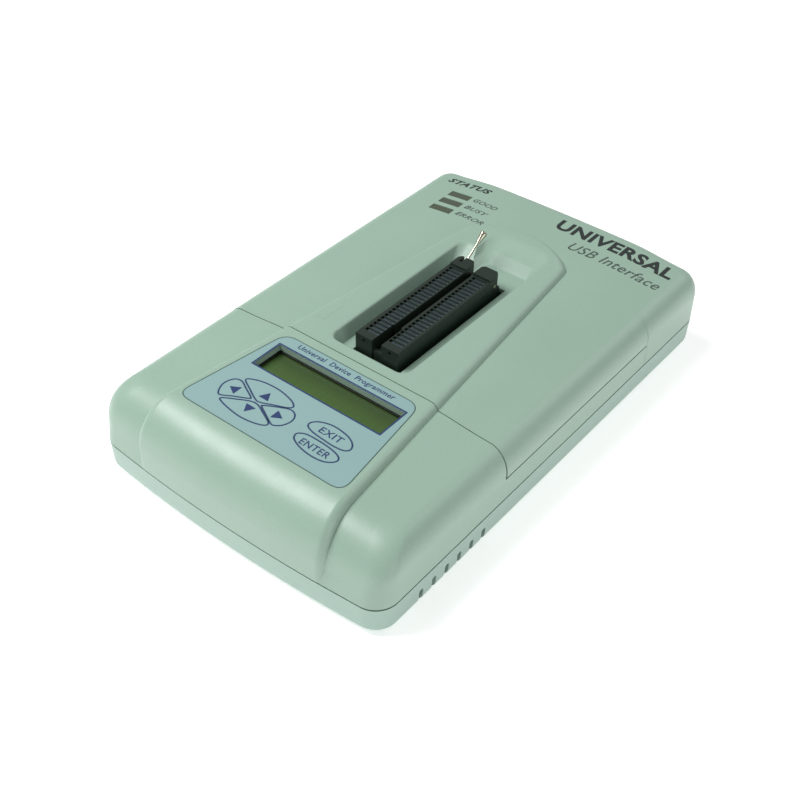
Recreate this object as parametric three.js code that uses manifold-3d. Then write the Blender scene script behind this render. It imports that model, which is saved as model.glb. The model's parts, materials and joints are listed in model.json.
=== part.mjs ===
// Universal device programmer with a zero-insertion-force socket, a two-line display and six keys.
// Millimetres, +Z up, the display end towards -Y; the origin is the middle of the footprint.
import * as THREE from "three";
import { mergeVertices } from "three/addons/utils/BufferGeometryUtils.js";
import Module from "manifold-3d";

const wasm = await Module();
wasm.setup();

// ---- sizes of the housing ----
const gap = 0.3; // clearance kept between neighbouring pieces
const caseWidth = 150.8;
const caseLength = 244.5;
const endBow = 2.8; // how far the front and back walls bulge in plan
const cornerRadius = 10.5;
const wall = 2.4;
const footHeight = 2;
const lowerHeight = 13.6; // floor to parting line
const shoulderRadius = 9.6;
const flatRise = 2.1; // the side flats rise this much from shoulder to ridge
const frontRadius = 20;
const backRadius = 13;
const humpTop = 46.3; // the raised middle
const humpLift = 2.8; // how far its top stands above the side flats
const humpFrontRadius = 19.3;
const humpWall = 3;
const bottomFillet = 4;

// ---- plan of the raised middle ----
const ridgeFrontHalf = 46; // half width of its top at the front wall
const ridgeSeamHalf = 37.8; // at the seam between the two covers
const ridgeBackHalf = 25.5; // at its back corners
const ridgeBackRun = 25.6; // back of the socket to its back corners
const ridgeArcRise = 15; // its back edge bulges this far behind the corners
const ridgeSlope = 3.3; // run of its sloped sides

// ---- joint between console cover and rear cover ----
const seamY = -41.5;
const skirtTop = 27.6; // top of the console cover's side skirts
const skirtBack = 68; // back end of the skirts
const lidProud = 0.6; // the rear cover stands this much outside the skirts

// ---- console: display, overlay and keys ----
const lcdX = 0.4;
const lcdY = -61.1;
const lcdWindow = [66.6, 15.9];
const lcdFrame = [71.3, 26.8, 5.6];
const lcdBoardSize = [80, 36, 1.6];
const lcdBoss = [37.6, 15.5]; // boss offsets from the display centre
const lcdScrewSize = { head: 2, headHeight: 1.4, shaft: 1.1, length: 6 };
const overlayThickness = 0.6;
const overlayFrontY = -101.9;
const overlayBackY = -46.5;
const overlayFrontHalf = 42.9;
const overlayBackHalf = 35.4;
const overlayCorner = 5;
const padX = -14.9; // centre of the four-way pad
const padY = -85.6;
const padHalf = [18.1, 10.4];
const padSplit = 0.46; // slope of the lines that part the four keys
const sideKeyX = 20.1;
const exitY = -81.3;
const enterY = -90.9;
const sideKeyHalf = [10.8, 4.2];
const keyMargin = 0.45; // key edge to the centre line of its printed outline
const keyTravel = 0.3;
const stemRadius = 1.5;
const stemRest = 0.1; // left between stem and switch when the key is down
const switchSize = [6, 6, 3.1];
const switchButtonRadius = 1.7;
const switchButtonHeight = 0.5;
const keyBoardThickness = 1.2;
const keyBoardHalfX = 34.5;
const keyBoardY = [-99, -75.2];
const keyPost = [32, -96, -78]; // x offset and the two y places of the posts
const pegRadius = 1.2;

// ---- socket ----
const socketX = -1;
const socketFrontY = -28.8;
const socketHalf = 11.35;
const socketTop = 48.6;
const socketBottom = 35;
const slotPitch = 2.54;
const slotCount = 24;
const slotFirstY = -23.7;
const slotEndMargin = 1.88; // centre of the last slot to the end block
const slotWidth = 1.4;
const slotLength = 7.4;
const slotDepth = 4.2;
const railSlotX = [-10.8, 1.4]; // left ends of the two rows of slots
const channel = { left: -3, right: 0.7, bottom: 38.6 };
const endBlockLength = 7.8;
const endBlockTop = 49.8;
const endBlockX = [-10, 1.9];
const endBlockWidth = 7.6;
const slideThickness = 3.4;
const slideStroke = 1.3;
const shaftInset = 3.6; // back of the socket to the lever shaft
const shaftZ = 44.2;
const shaftRadius = 1;
const camRadius = 1.5;
const leverX = -8.9;
const leverAngle = 35; // degrees above level, pointing back
const leverLength = 21.2;
const leverWireRadius = 0.55;
const knobLength = 5.8;
const knobRadius = [0.95, 1.5];
const socketBoardSize = [44, 96, 1.6];
const headerSize = [5, 60];

// ---- recess round the socket ----
const recessFloor = 40;
const recessRun = 3.2; // run of its sloped walls
const recessX = [-18.2, 16.2];
const recessMargin = [3.6, 13.1]; // before and behind the socket
const recessCorner = 2.5;
const tubWall = 2;
const holeX = [-13, 12.4];
const holeMargin = [1.8, 2];
const scoopX = [-12.5, 17];
const scoopRun = [12.6, 21.6, 30.6]; // behind the socket
const scoopMiddle = 43.2;

// ---- lamps ----
const lampX = -48.75;
const lampY = 87;
const lampPitch = 7.7;
const lampSize = [12.3, 4.8];
const lampDepth = 6.4;
const lampBoardSize = [16, 36, 1.6];
const lampPostY = 14.6;

// ---- inside the lower case ----
const mainBoard = { x: [-54, 54], frontY: -60, endGap: 12.25, thickness: 1.6, bottom: 9 };
const standoff = { x: 46, inset: [8, 9] }; // insets from the front and back of the board
const standoffRadius = 3.5;
const casePostInset = [13.4, 22.25]; // from the side and from the end of the case
const casePostRadius = 5;
const caseBossRadius = 4;
const caseScrew = { head: 2.8, headHeight: 2, shaft: 1.5, length: 24, recess: 3 };
const boardScrew = { head: 2.6, headHeight: 1.8, shaft: 1.3, length: 6 };
const ventCount = 6;
const ventPitch = 8;
const ventInset = 27.85; // front end to the first vent
const ventWidth = 2.2;
const ventTop = 8.8;
const footRadius = 6;
const footInset = [15.4, 38.25];
const footSink = 1;
const usb = { x: -22, size: [12, 16, 10.9], setBack: 1.65, mouth: [8.4, 7.8], depth: 9, tongueSet: 4.8 };
const power = { x: 22, size: [9.4, 14, 11], setBack: 1.65, bore: 3.1, depth: 10, pin: 1, pinSet: 4.8 };

// ---- values that follow from the ones above ----
const halfWidth = caseWidth / 2;
const halfLength = caseLength / 2;
const partingZ = footHeight + lowerHeight;
const upperBase = partingZ + gap;
const ridgeFoot = humpTop - humpLift;
const shoulderTop = ridgeFoot - flatRise; // top of the side flats beside the shoulders
const overlayBottom = humpTop - overlayThickness;
const overlaySeat = overlayBottom - gap;
const keySeat = overlaySeat - keyTravel - gap;
const humpInside = humpTop - humpWall;
const lcdFrameTop = humpInside - gap;
const lcdFrameBottom = lcdFrameTop - lcdFrame[2];
const lcdBoardTop = lcdFrameBottom - gap;
const lcdScrewSeat = lcdBoardTop - lcdBoardSize[2] - gap;
const keyBoardBottom = lcdBoardTop + gap;
const keyBoardTop = keyBoardBottom + keyBoardThickness;
const switchBottom = keyBoardTop + gap;
const switchTop = switchBottom + switchSize[2];
const stemBottom = switchTop + switchButtonHeight + keyTravel + stemRest;
const mainBoardTop = mainBoard.bottom + mainBoard.thickness;
const mainBoardY = [mainBoard.frontY, halfLength - mainBoard.endGap];
const standoffY = [mainBoardY[0] + standoff.inset[0], mainBoardY[1] - standoff.inset[1]];
const casePost = [halfWidth - casePostInset[0], halfLength - casePostInset[1]];
const footPlace = [halfWidth - footInset[0], halfLength - footInset[1]];
const ventFirstY = ventInset - halfLength;
const usbFace = halfLength - usb.setBack;
const powerFace = halfLength - power.setBack;
const socketBackY = slotFirstY + (slotCount - 1) * slotPitch + slotEndMargin + endBlockLength;
const shaftY = socketBackY - shaftInset;
const recessY = [socketFrontY - recessMargin[0], socketBackY + recessMargin[1]];
const holeY = [socketFrontY - holeMargin[0], socketBackY + holeMargin[1]];
const scoopY = scoopRun.map((run) => socketBackY + run);
const ridgeBackY = socketBackY + ridgeBackRun;
const socketBoardTop = socketBottom - gap;
const slotFloor = socketTop - slotDepth;
const far = 200; // reach of the cutting shapes

// ---- finishes ----
const finish = (color, roughness, metalness = 0) => ({ color, roughness, metalness });
const caseGreen = finish(0xaecabd, 0.45);
const lowerGreen = finish(0xc4dccf, 0.5);
const overlayBlue = finish(0xa9c6ca, 0.4);
const keyBlue = finish(0xb0cdd0, 0.4);
const socketBlack = finish(0x1c2320, 0.55);
const contactMetal = finish(0x5d7480, 0.35, 0.8);
const steel = finish(0xc8ccc8, 0.2, 1);
const boardGreen = finish(0x1f6b3c, 0.5);
const chipBlack = finish(0x222326, 0.6);
const rubber = finish(0x2a2c2c, 0.85);
const lampOlive = finish(0x5f6d52, 0.3);
const ledClear = finish(0xe0e2d4, 0.3);
const glassOlive = finish(0x65803a, 0.15);

// ---- tools ----
function solid(geometry) {
  const bare = geometry.index ? geometry.toNonIndexed() : geometry;
  bare.deleteAttribute("normal");
  bare.deleteAttribute("uv");
  const merged = mergeVertices(bare, 1e-3);
  return new wasm.Manifold(
    new wasm.Mesh({
      numProp: 3,
      vertProperties: new Float32Array(merged.attributes.position.array),
      triVerts: new Uint32Array(merged.index.array),
    }),
  );
}

function piece(name, body, look) {
  const made = body.getMesh();
  const count = made.numVert;
  const place = new Float32Array(count * 3);
  for (let i = 0; i < count; i++) {
    place.set(made.vertProperties.subarray(i * made.numProp, i * made.numProp + 3), i * 3);
  }
  const geometry = new THREE.BufferGeometry();
  geometry.setAttribute("position", new THREE.BufferAttribute(place, 3));
  geometry.setIndex(new THREE.BufferAttribute(new Uint32Array(made.triVerts), 1));
  geometry.computeVertexNormals();
  const mesh = new THREE.Mesh(geometry, new THREE.MeshStandardMaterial(look));
  mesh.name = name;
  return mesh;
}

// Block from its lowest and highest corners.
function block(x0, x1, y0, y1, z0, z1) {
  const box = new THREE.BoxGeometry(x1 - x0, y1 - y0, z1 - z0);
  box.translate((x0 + x1) / 2, (y0 + y1) / 2, (z0 + z1) / 2);
  return solid(box);
}

// Upright block from its centre in plan.
function centredBlock(x, y, width, length, z0, z1) {
  return block(x - width / 2, x + width / 2, y - length / 2, y + length / 2, z0, z1);
}

function post(x, y, radius, z0, z1, sides = 20) {
  const made = new THREE.CylinderGeometry(radius, radius, z1 - z0, sides);
  made.rotateX(Math.PI / 2);
  made.translate(x, y, (z0 + z1) / 2);
  return solid(made);
}

// Rod along X.
function rodX(x0, x1, y, z, radius, sides = 16) {
  const made = new THREE.CylinderGeometry(radius, radius, x1 - x0, sides);
  made.rotateZ(Math.PI / 2);
  made.translate((x0 + x1) / 2, y, z);
  return solid(made);
}

// Rod along Y.
function rodY(x, y0, y1, z, radius, sides = 16) {
  const made = new THREE.CylinderGeometry(radius, radius, y1 - y0, sides);
  made.translate(x, (y0 + y1) / 2, z);
  return solid(made);
}

// Plan shape raised from z0 to z1.
function raised(shape, z0, z1, bevel = {}, curveSegments = 6) {
  const { run = 0, rise = 0, steps = 1, offset = -run } = bevel;
  const made = new THREE.ExtrudeGeometry(shape, {
    depth: z1 - z0 - 2 * rise,
    bevelEnabled: rise > 0,
    bevelSize: run,
    bevelThickness: rise,
    bevelOffset: offset,
    bevelSegments: steps,
    curveSegments,
  });
  made.translate(0, 0, z0 + rise);
  return solid(made);
}

// Side view (y, z) drawn out along X.
function drawnAlongX(shape, x0, x1) {
  const made = new THREE.ExtrudeGeometry(shape, { depth: x1 - x0, bevelEnabled: false, curveSegments: 7 });
  const turn = new THREE.Matrix4().makeBasis(
    new THREE.Vector3(0, 1, 0),
    new THREE.Vector3(0, 0, 1),
    new THREE.Vector3(1, 0, 0),
  );
  made.applyMatrix4(turn);
  made.translate(x0, 0, 0);
  return solid(made);
}

// Front view (x, z) drawn out along Y.
function drawnAlongY(shape, y0, y1) {
  const made = new THREE.ExtrudeGeometry(shape, { depth: y1 - y0, bevelEnabled: false, curveSegments: 6 });
  made.rotateX(Math.PI / 2);
  made.translate(0, y1, 0);
  return solid(made);
}

function polygon(points) {
  return new THREE.Shape(points.map(([x, y]) => new THREE.Vector2(x, y)));
}

// Closed outline with every corner rounded by the same radius.
function roundedPolygon(points, radius) {
  const shape = new THREE.Shape();
  const at = points.map(([x, y]) => new THREE.Vector2(x, y));
  at.forEach((corner, i) => {
    const before = at[(i + at.length - 1) % at.length].clone().sub(corner).setLength(radius).add(corner);
    const after = at[(i + 1) % at.length].clone().sub(corner).setLength(radius).add(corner);
    if (i === 0) {
      shape.moveTo(before.x, before.y);
    } else {
      shape.lineTo(before.x, before.y);
    }
    shape.quadraticCurveTo(corner.x, corner.y, after.x, after.y);
  });
  shape.closePath();
  return shape;
}

function ellipse(halfX, halfY) {
  const shape = new THREE.Shape();
  shape.absellipse(0, 0, halfX, halfY, 0, Math.PI * 2, false, 0);
  return shape;
}

const unite = (bodies) => bodies.reduce((sum, body) => sum.add(body));
const bothSides = [-1, 1];

// ---- housing outlines ----
function casePlan(inset, extra = 0) {
  const x = halfWidth - inset + extra;
  const r = cornerRadius - inset + extra;
  const y = halfLength - endBow - inset;
  const apex = halfLength - inset + endBow;
  const shape = new THREE.Shape();
  shape.moveTo(-x + r, -y);
  shape.quadraticCurveTo(0, -apex, x - r, -y);
  shape.absarc(x - r, -y + r, r, -Math.PI / 2, 0, false);
  shape.absarc(x - r, y - r, r, 0, Math.PI / 2, false);
  shape.quadraticCurveTo(0, apex, -x + r, y);
  shape.absarc(-x + r, y - r, r, Math.PI / 2, Math.PI, false);
  shape.absarc(-x + r, -y + r, r, Math.PI, Math.PI * 1.5, false);
  return shape;
}

// Front view of the side flats and shoulders.
function shoulderProfile(inset, extra = 0) {
  const x = halfWidth - inset + extra;
  const r = shoulderRadius - inset + extra;
  const top = shoulderTop - inset;
  const ridge = ridgeFoot - inset;
  const shape = new THREE.Shape();
  shape.moveTo(-x, 0);
  shape.lineTo(x, 0);
  shape.lineTo(x, top - r);
  shape.absarc(x - r, top - r, r, 0, Math.PI / 2, false);
  shape.lineTo(ridgeSeamHalf, ridge);
  shape.lineTo(-ridgeSeamHalf, ridge);
  shape.lineTo(-x + r, top);
  shape.absarc(-x + r, top - r, r, Math.PI / 2, Math.PI, false);
  return shape;
}

// Side view of the covers: a rounded front of the given height and radius.
function lengthProfile(inset, top, radius, lean) {
  const r = radius - inset;
  const front = -halfLength + inset;
  const back = halfLength - inset;
  const shape = new THREE.Shape();
  shape.moveTo(front, 0);
  shape.lineTo(back, 0);
  shape.lineTo(back, top - backRadius);
  shape.absarc(back - backRadius + inset, top - backRadius, backRadius - inset, 0, Math.PI / 2, false);
  shape.lineTo(front + lean + r, top - inset);
  shape.absarc(front + lean + r, top - inset - r, r, Math.PI / 2, Math.PI, false);
  shape.lineTo(front, partingZ);
  return shape;
}

// Plan of the raised middle at its foot.
function humpPlan(inset) {
  const spread = ridgeSlope - inset;
  const front = -halfLength - endBow - ridgeSlope;
  const growth = (ridgeFrontHalf - ridgeSeamHalf) / (halfLength + seamY);
  const frontHalf = ridgeFrontHalf + growth * (-halfLength - front);
  const shape = new THREE.Shape();
  shape.moveTo(-frontHalf - spread, front);
  shape.lineTo(frontHalf + spread, front);
  shape.lineTo(ridgeSeamHalf + spread, seamY);
  shape.lineTo(ridgeBackHalf + spread, ridgeBackY);
  shape.quadraticCurveTo(0, ridgeBackY + 2 * ridgeArcRise - inset, -ridgeBackHalf - spread, ridgeBackY);
  shape.lineTo(-ridgeSeamHalf - spread, seamY);
  return shape;
}

// The space filled by both covers, or with an inset the space inside them.
function coverBlank(inset, extra = 0) {
  const top = ridgeFoot - inset;
  const roll = shoulderRadius - inset + extra;
  const body = raised(casePlan(inset, extra), -roll, top, { run: roll, rise: roll, steps: 4 })
    .intersect(drawnAlongX(lengthProfile(inset, ridgeFoot, frontRadius, 2), -far, far))
    .intersect(drawnAlongY(shoulderProfile(inset, extra), -far, far));
  const lift = humpTop - ridgeFoot;
  const middleWall = inset > 0 ? humpWall : 0;
  const middle = raised(humpPlan(middleWall), -lift, humpTop - middleWall, {
    run: ridgeSlope - 0.2,
    rise: lift,
    steps: 2,
  })
    .intersect(drawnAlongX(lengthProfile(middleWall, humpTop, humpFrontRadius, 0), -far, far))
    .intersect(raised(casePlan(middleWall), 0, far));
  return body.add(middle).intersect(block(-far, far, -far, far, inset > 0 ? 0 : upperBase, far));
}

// Side view of the space left to the rear cover.
function rearSpace() {
  const start = seamY + gap / 2;
  const end = skirtBack + gap / 2;
  const level = skirtTop + gap / 2;
  return drawnAlongX(
    polygon([
      [start, level],
      [end, level],
      [end, 0],
      [far, 0],
      [far, far],
      [start, far],
    ]),
    -far,
    far,
  );
}

function consoleSpace() {
  const end = seamY - gap / 2;
  const back = skirtBack - gap / 2;
  const level = skirtTop - gap / 2;
  return drawnAlongX(
    polygon([
      [-far, 0],
      [back, 0],
      [back, level],
      [end, level],
      [end, far],
      [-far, far],
    ]),
    -far,
    far,
  );
}

// ---- housing pieces ----
function caseScrewPlaces() {
  return bothSides.flatMap((sy) => bothSides.map((sx) => [sx * casePost[0], sy * casePost[1]]));
}

function boardScrewPlaces() {
  return standoffY.flatMap((y) => bothSides.map((sx) => [sx * standoff.x, y]));
}

function footPlaces() {
  return bothSides.flatMap((sy) => bothSides.map((sx) => [sx * footPlace[0], sy * footPlace[1]]));
}

function rearOpenings() {
  const usbHole = centredBlock(
    usb.x, halfLength, usb.size[0] + 2 * gap, 16, mainBoardTop, mainBoardTop + usb.size[2] + 2 * gap,
  );
  const powerHole = centredBlock(
    power.x, halfLength, power.size[0] + 2 * gap, 16, mainBoardTop, mainBoardTop + power.size[2] + 2 * gap,
  );
  return usbHole.add(powerHole);
}

function vents() {
  const slots = [];
  for (let i = 0; i < ventCount; i++) {
    const y = ventFirstY + i * ventPitch;
    for (const side of bothSides) {
      const x = side * halfWidth;
      slots.push(block(x - 3.5, x + 3.5, y - ventWidth / 2, y + ventWidth / 2, footHeight + wall, ventTop));
    }
  }
  return unite(slots);
}

function lowerCase() {
  const floor = footHeight + wall;
  const rounding = { run: bottomFillet, rise: bottomFillet, steps: 3 };
  const inner = { run: bottomFillet - wall + 1, rise: bottomFillet - wall + 1, steps: 2 };
  const outside = raised(casePlan(0), footHeight, partingZ + 2 * bottomFillet, rounding)
    .intersect(block(-far, far, -far, far, 0, partingZ));
  const inside = raised(casePlan(wall), floor, partingZ + 20, inner);
  const posts = caseScrewPlaces().map(([x, y]) => post(x, y, casePostRadius, floor - 1, partingZ - gap));
  const standoffs = boardScrewPlaces().map(([x, y]) => {
    return post(x, y, standoffRadius, floor - 1, mainBoard.bottom - gap);
  });
  const screwHoles = caseScrewPlaces().map(([x, y]) => {
    const clear = post(x, y, caseScrew.shaft + gap, 0, far);
    return clear.add(post(x, y, caseScrew.head + gap, 0, caseScrew.recess + footHeight + caseScrew.headHeight + gap));
  });
  const boardHoles = boardScrewPlaces().map(([x, y]) => {
    return post(x, y, boardScrew.shaft + gap, mainBoardTop - boardScrew.length, far);
  });
  const footSeats = footPlaces().map(([x, y]) => post(x, y, footRadius + gap, 0, footHeight + footSink, 28));
  return outside
    .subtract(inside)
    .add(unite(posts))
    .add(unite(standoffs))
    .subtract(unite(screwHoles))
    .subtract(unite(boardHoles))
    .subtract(unite(footSeats))
    .subtract(vents())
    .subtract(rearOpenings());
}

function upperBosses(side) {
  const places = caseScrewPlaces().filter(([, y]) => Math.sign(y) === side);
  const bosses = unite(places.map(([x, y]) => post(x, y, caseBossRadius, upperBase, shoulderTop - wall / 2)));
  const top = footHeight + caseScrew.recess + caseScrew.length + gap;
  const holes = unite(places.map(([x, y]) => post(x, y, caseScrew.shaft + gap, 0, top)));
  return { bosses, holes };
}

function keyPlaces() {
  return {
    up: [padX, padY + padHalf[1] * 0.62],
    down: [padX, padY - padHalf[1] * 0.62],
    left: [padX - padHalf[0] * 0.62, padY],
    right: [padX + padHalf[0] * 0.62, padY],
    exit: [sideKeyX, exitY],
    enter: [sideKeyX, enterY],
  };
}

// Plan of one key with its edge moved out by grow.
function keyBody(name, grow, z0, z1) {
  const edge = grow - keyMargin;
  if (name === "exit" || name === "enter") {
    const [x, y] = keyPlaces()[name];
    return raised(ellipse(sideKeyHalf[0] + edge, sideKeyHalf[1] + edge), z0, z1).translate([x, y, 0]);
  }
  const pad = raised(ellipse(padHalf[0] + edge, padHalf[1] + edge), z0, z1, {}, 8);
  const reach = padHalf[0] * 2;
  const slip = -edge * Math.hypot(1, padSplit);
  const along = name === "up" || name === "down";
  const sign = name === "up" || name === "right" ? 1 : -1;
  const sector = along
    ? [[0, slip * sign], [reach, sign * (reach * padSplit + slip)], [-reach, sign * (reach * padSplit + slip)]]
    : [
        [(sign * slip) / padSplit, 0],
        [sign * (reach + slip / padSplit), reach * padSplit],
        [sign * (reach + slip / padSplit), -reach * padSplit],
      ];
  const tall = raised(polygon(sector), z0 - 1, z1 + 1);
  return pad.intersect(tall).translate([padX, padY, 0]);
}

const keyNames = Object.keys(keyPlaces());

function keyPostPlaces() {
  return [keyPost[1], keyPost[2]].flatMap((y) => bothSides.map((sx) => [sx * keyPost[0], y]));
}

function lcdScrewPlaces() {
  return bothSides.flatMap((sy) => bothSides.map((sx) => [lcdX + sx * lcdBoss[0], lcdY + sy * lcdBoss[1]]));
}

function overlayPlan(grow) {
  return roundedPolygon(
    [
      [-overlayFrontHalf - grow, overlayFrontY - grow],
      [overlayFrontHalf + grow, overlayFrontY - grow],
      [overlayBackHalf + grow, overlayBackY + grow],
      [-overlayBackHalf - grow, overlayBackY + grow],
    ],
    overlayCorner,
  );
}

function lcdOpening(grow, z0, z1) {
  return centredBlock(lcdX, lcdY, lcdWindow[0] + 2 * grow, lcdWindow[1] + 2 * grow, z0, z1);
}

function consoleCover() {
  const shell = coverBlank(0).subtract(coverBlank(wall)).intersect(consoleSpace());
  const seats = keyNames.map((name) => keyBody(name, keyMargin, keySeat, far));
  const stemHoles = keyNames.map((name) => {
    const [x, y] = keyPlaces()[name];
    return post(x, y, stemRadius + gap, stemBottom - 1, far, 16);
  });
  const posts = keyPostPlaces().map(([x, y]) => post(x, y, 2, keyBoardTop + gap, humpInside + 0.5, 16));
  const pegs = keyPostPlaces().map(([x, y]) => post(x, y, pegRadius, keyBoardBottom, keyBoardTop + 1, 16));
  const lcdPosts = lcdScrewPlaces().map(([x, y]) => post(x, y, 2.6, lcdFrameBottom, humpInside + 0.5, 16));
  const lcdHoles = lcdScrewPlaces().map(([x, y]) => {
    return post(x, y, lcdScrewSize.shaft + gap, 0, lcdScrewSeat + lcdScrewSize.length + gap, 12);
  });
  const lcdFrameRoom = centredBlock(
    lcdX, lcdY, lcdFrame[0] + 2 * gap, lcdFrame[1] + 2 * gap, lcdFrameBottom, lcdFrameTop + gap,
  );
  const front = upperBosses(-1);
  return shell
    .add(front.bosses)
    .subtract(front.holes)
    .add(unite(lcdPosts))
    .subtract(unite(lcdHoles))
    .subtract(raised(overlayPlan(gap), overlaySeat, far))
    .subtract(unite(seats))
    .subtract(unite(stemHoles))
    .subtract(lcdOpening(0, lcdFrameTop, far))
    .subtract(lcdFrameRoom)
    .add(unite(posts))
    .add(unite(pegs));
}

function recessCut() {
  const [x0, x1] = recessX;
  const [y0, y1] = recessY;
  const plan = roundedPolygon([[x0, y0], [x1, y0], [x1, y1], [x0, y1]], recessCorner);
  const rise = humpTop - recessFloor;
  return raised(plan, recessFloor, humpTop + 2 * rise, { run: recessRun, rise, offset: 0 });
}

function scoopCut() {
  return drawnAlongX(
    polygon([
      [scoopY[0] - 6, recessFloor],
      [scoopY[0], recessFloor],
      [scoopY[1], scoopMiddle],
      [scoopY[2], humpTop + 0.2],
      [scoopY[2], far],
      [scoopY[0] - 6, far],
    ]),
    scoopX[0],
    scoopX[1],
  );
}

function socketTub() {
  const reach = recessRun + tubWall;
  return block(
    recessX[0] - reach, recessX[1] + reach, recessY[0] - reach, scoopY[2] + tubWall,
    recessFloor - tubWall, humpInside + 0.5,
  );
}

function lampPlaces() {
  return { good: lampY + lampPitch, busy: lampY, error: lampY - lampPitch };
}

function lampTop() {
  const run = (Math.abs(lampX) - ridgeSeamHalf) / (halfWidth - shoulderRadius - ridgeSeamHalf);
  return ridgeFoot - run * flatRise - 0.4;
}

function lampPosts(radius, z0, z1) {
  return unite(bothSides.map((s) => post(lampX, lampY + s * lampPostY, radius, z0, z1, 16)));
}

function rearCover() {
  const lid = coverBlank(0, lidProud).intersect(block(-far, far, seamY, skirtBack, skirtTop, far));
  const shell = coverBlank(0).add(lid).subtract(coverBlank(wall)).intersect(rearSpace());
  const back = upperBosses(1);
  const boardTop = lampTop() - lampDepth - 2 - gap;
  const openings = Object.values(lampPlaces()).map((y) => {
    return centredBlock(lampX, y, lampSize[0], lampSize[1], boardTop, far);
  });
  return shell
    .add(back.bosses)
    .subtract(back.holes)
    .add(socketTub())
    .subtract(recessCut())
    .subtract(scoopCut())
    .subtract(block(holeX[0], holeX[1], holeY[0], holeY[1], 0, far))
    .subtract(unite(openings))
    .add(lampPosts(2, boardTop, shoulderTop))
    .add(lampPosts(1.1, boardTop - lampBoardSize[2] - 1, boardTop + 1))
    .subtract(rearOpenings());
}

function housing() {
  const pieces = [
    piece("lower_case", lowerCase(), lowerGreen),
    piece("console_cover", consoleCover(), caseGreen),
    piece("rear_cover", rearCover(), caseGreen),
  ];
  footPlaces().forEach(([x, y], i) => {
    pieces.push(piece("foot_" + (i + 1), post(x, y, footRadius, 0, footHeight + footSink - gap, 28), rubber));
  });
  caseScrewPlaces().forEach(([x, y], i) => {
    const seat = footHeight + caseScrew.recess;
    const body = post(x, y, caseScrew.head, seat, seat + caseScrew.headHeight)
      .add(post(x, y, caseScrew.shaft, seat, seat + caseScrew.length, 12))
      .subtract(centredBlock(x, y, 3.2, 0.8, 0, seat + 1))
      .subtract(centredBlock(x, y, 0.8, 3.2, 0, seat + 1));
    pieces.push(piece("case_screw_" + (i + 1), body, steel));
  });
  return pieces;
}

// ---- console pieces ----
function overlay() {
  const holes = keyNames.map((name) => keyBody(name, gap, 0, far));
  return raised(overlayPlan(0), overlayBottom, humpTop)
    .subtract(unite(holes))
    .subtract(lcdOpening(0, 0, far));
}

function key(name) {
  const [x, y] = keyPlaces()[name];
  return keyBody(name, 0, overlayBottom, humpTop).add(post(x, y, stemRadius, stemBottom, overlayBottom + 0.3, 16));
}

function tactSwitch([x, y]) {
  return centredBlock(x, y, switchSize[0], switchSize[1], switchBottom, switchTop)
    .add(post(x, y, switchButtonRadius, switchTop - 0.5, switchTop + switchButtonHeight, 16));
}

function keyBoard() {
  const holes = keyPostPlaces().map(([x, y]) => post(x, y, pegRadius + gap, 0, far, 16));
  return block(-keyBoardHalfX, keyBoardHalfX, keyBoardY[0], keyBoardY[1], keyBoardBottom, keyBoardTop)
    .subtract(unite(holes));
}

function lcdFramePiece() {
  const [width, length] = lcdFrame;
  const outside = centredBlock(lcdX, lcdY, width, length, lcdFrameBottom, lcdFrameTop);
  const inside = centredBlock(lcdX, lcdY, width - 1.2, length - 1.2, 0, lcdFrameTop - 0.6);
  return outside.subtract(inside).subtract(lcdOpening(-0.6, 0, far));
}

function lcdGlass() {
  const [width, length] = lcdFrame;
  const top = lcdFrameTop - 0.6 - gap;
  return centredBlock(lcdX, lcdY, width - 1.2 - 2 * gap, length - 1.2 - 2 * gap, lcdFrameBottom + gap, top);
}

function lcdBoard() {
  const [width, length, thick] = lcdBoardSize;
  const holes = lcdScrewPlaces().map(([x, y]) => post(x, y, lcdScrewSize.shaft + gap, 0, far, 12));
  return centredBlock(lcdX, lcdY, width, length, lcdBoardTop - thick, lcdBoardTop).subtract(unite(holes));
}

function lcdScrew([x, y]) {
  const { head, headHeight, shaft, length } = lcdScrewSize;
  return post(x, y, head, lcdScrewSeat - headHeight, lcdScrewSeat, 16)
    .add(post(x, y, shaft, lcdScrewSeat - 1, lcdScrewSeat + length, 12));
}

function consolePieces() {
  const pieces = [piece("keypad_overlay", overlay(), overlayBlue)];
  for (const name of keyNames) {
    pieces.push(piece("key_" + name, key(name), keyBlue));
    pieces.push(piece("switch_" + name, tactSwitch(keyPlaces()[name]), chipBlack));
  }
  pieces.push(piece("keypad_board", keyBoard(), boardGreen));
  pieces.push(piece("lcd_frame", lcdFramePiece(), chipBlack));
  pieces.push(piece("lcd_glass", lcdGlass(), glassOlive));
  pieces.push(piece("lcd_board", lcdBoard(), boardGreen));
  lcdScrewPlaces().forEach((at, i) => pieces.push(piece("lcd_screw_" + (i + 1), lcdScrew(at), steel)));
  return pieces;
}

// ---- socket pieces ----
function slotRow(x0, width, length, z0, z1) {
  const slots = [];
  for (let i = 0; i < slotCount; i++) {
    const y = slotFirstY + i * slotPitch;
    slots.push(block(x0, x0 + length, y - width / 2, y + width / 2, z0, z1));
  }
  return unite(slots);
}

function leverSweep() {
  const reach = socketBackY - shaftY + 4;
  return block(
    leverX - leverWireRadius - gap, leverX + leverWireRadius + gap,
    shaftY - shaftRadius - gap, shaftY + reach, shaftZ - shaftRadius - gap, far,
  );
}

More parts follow.
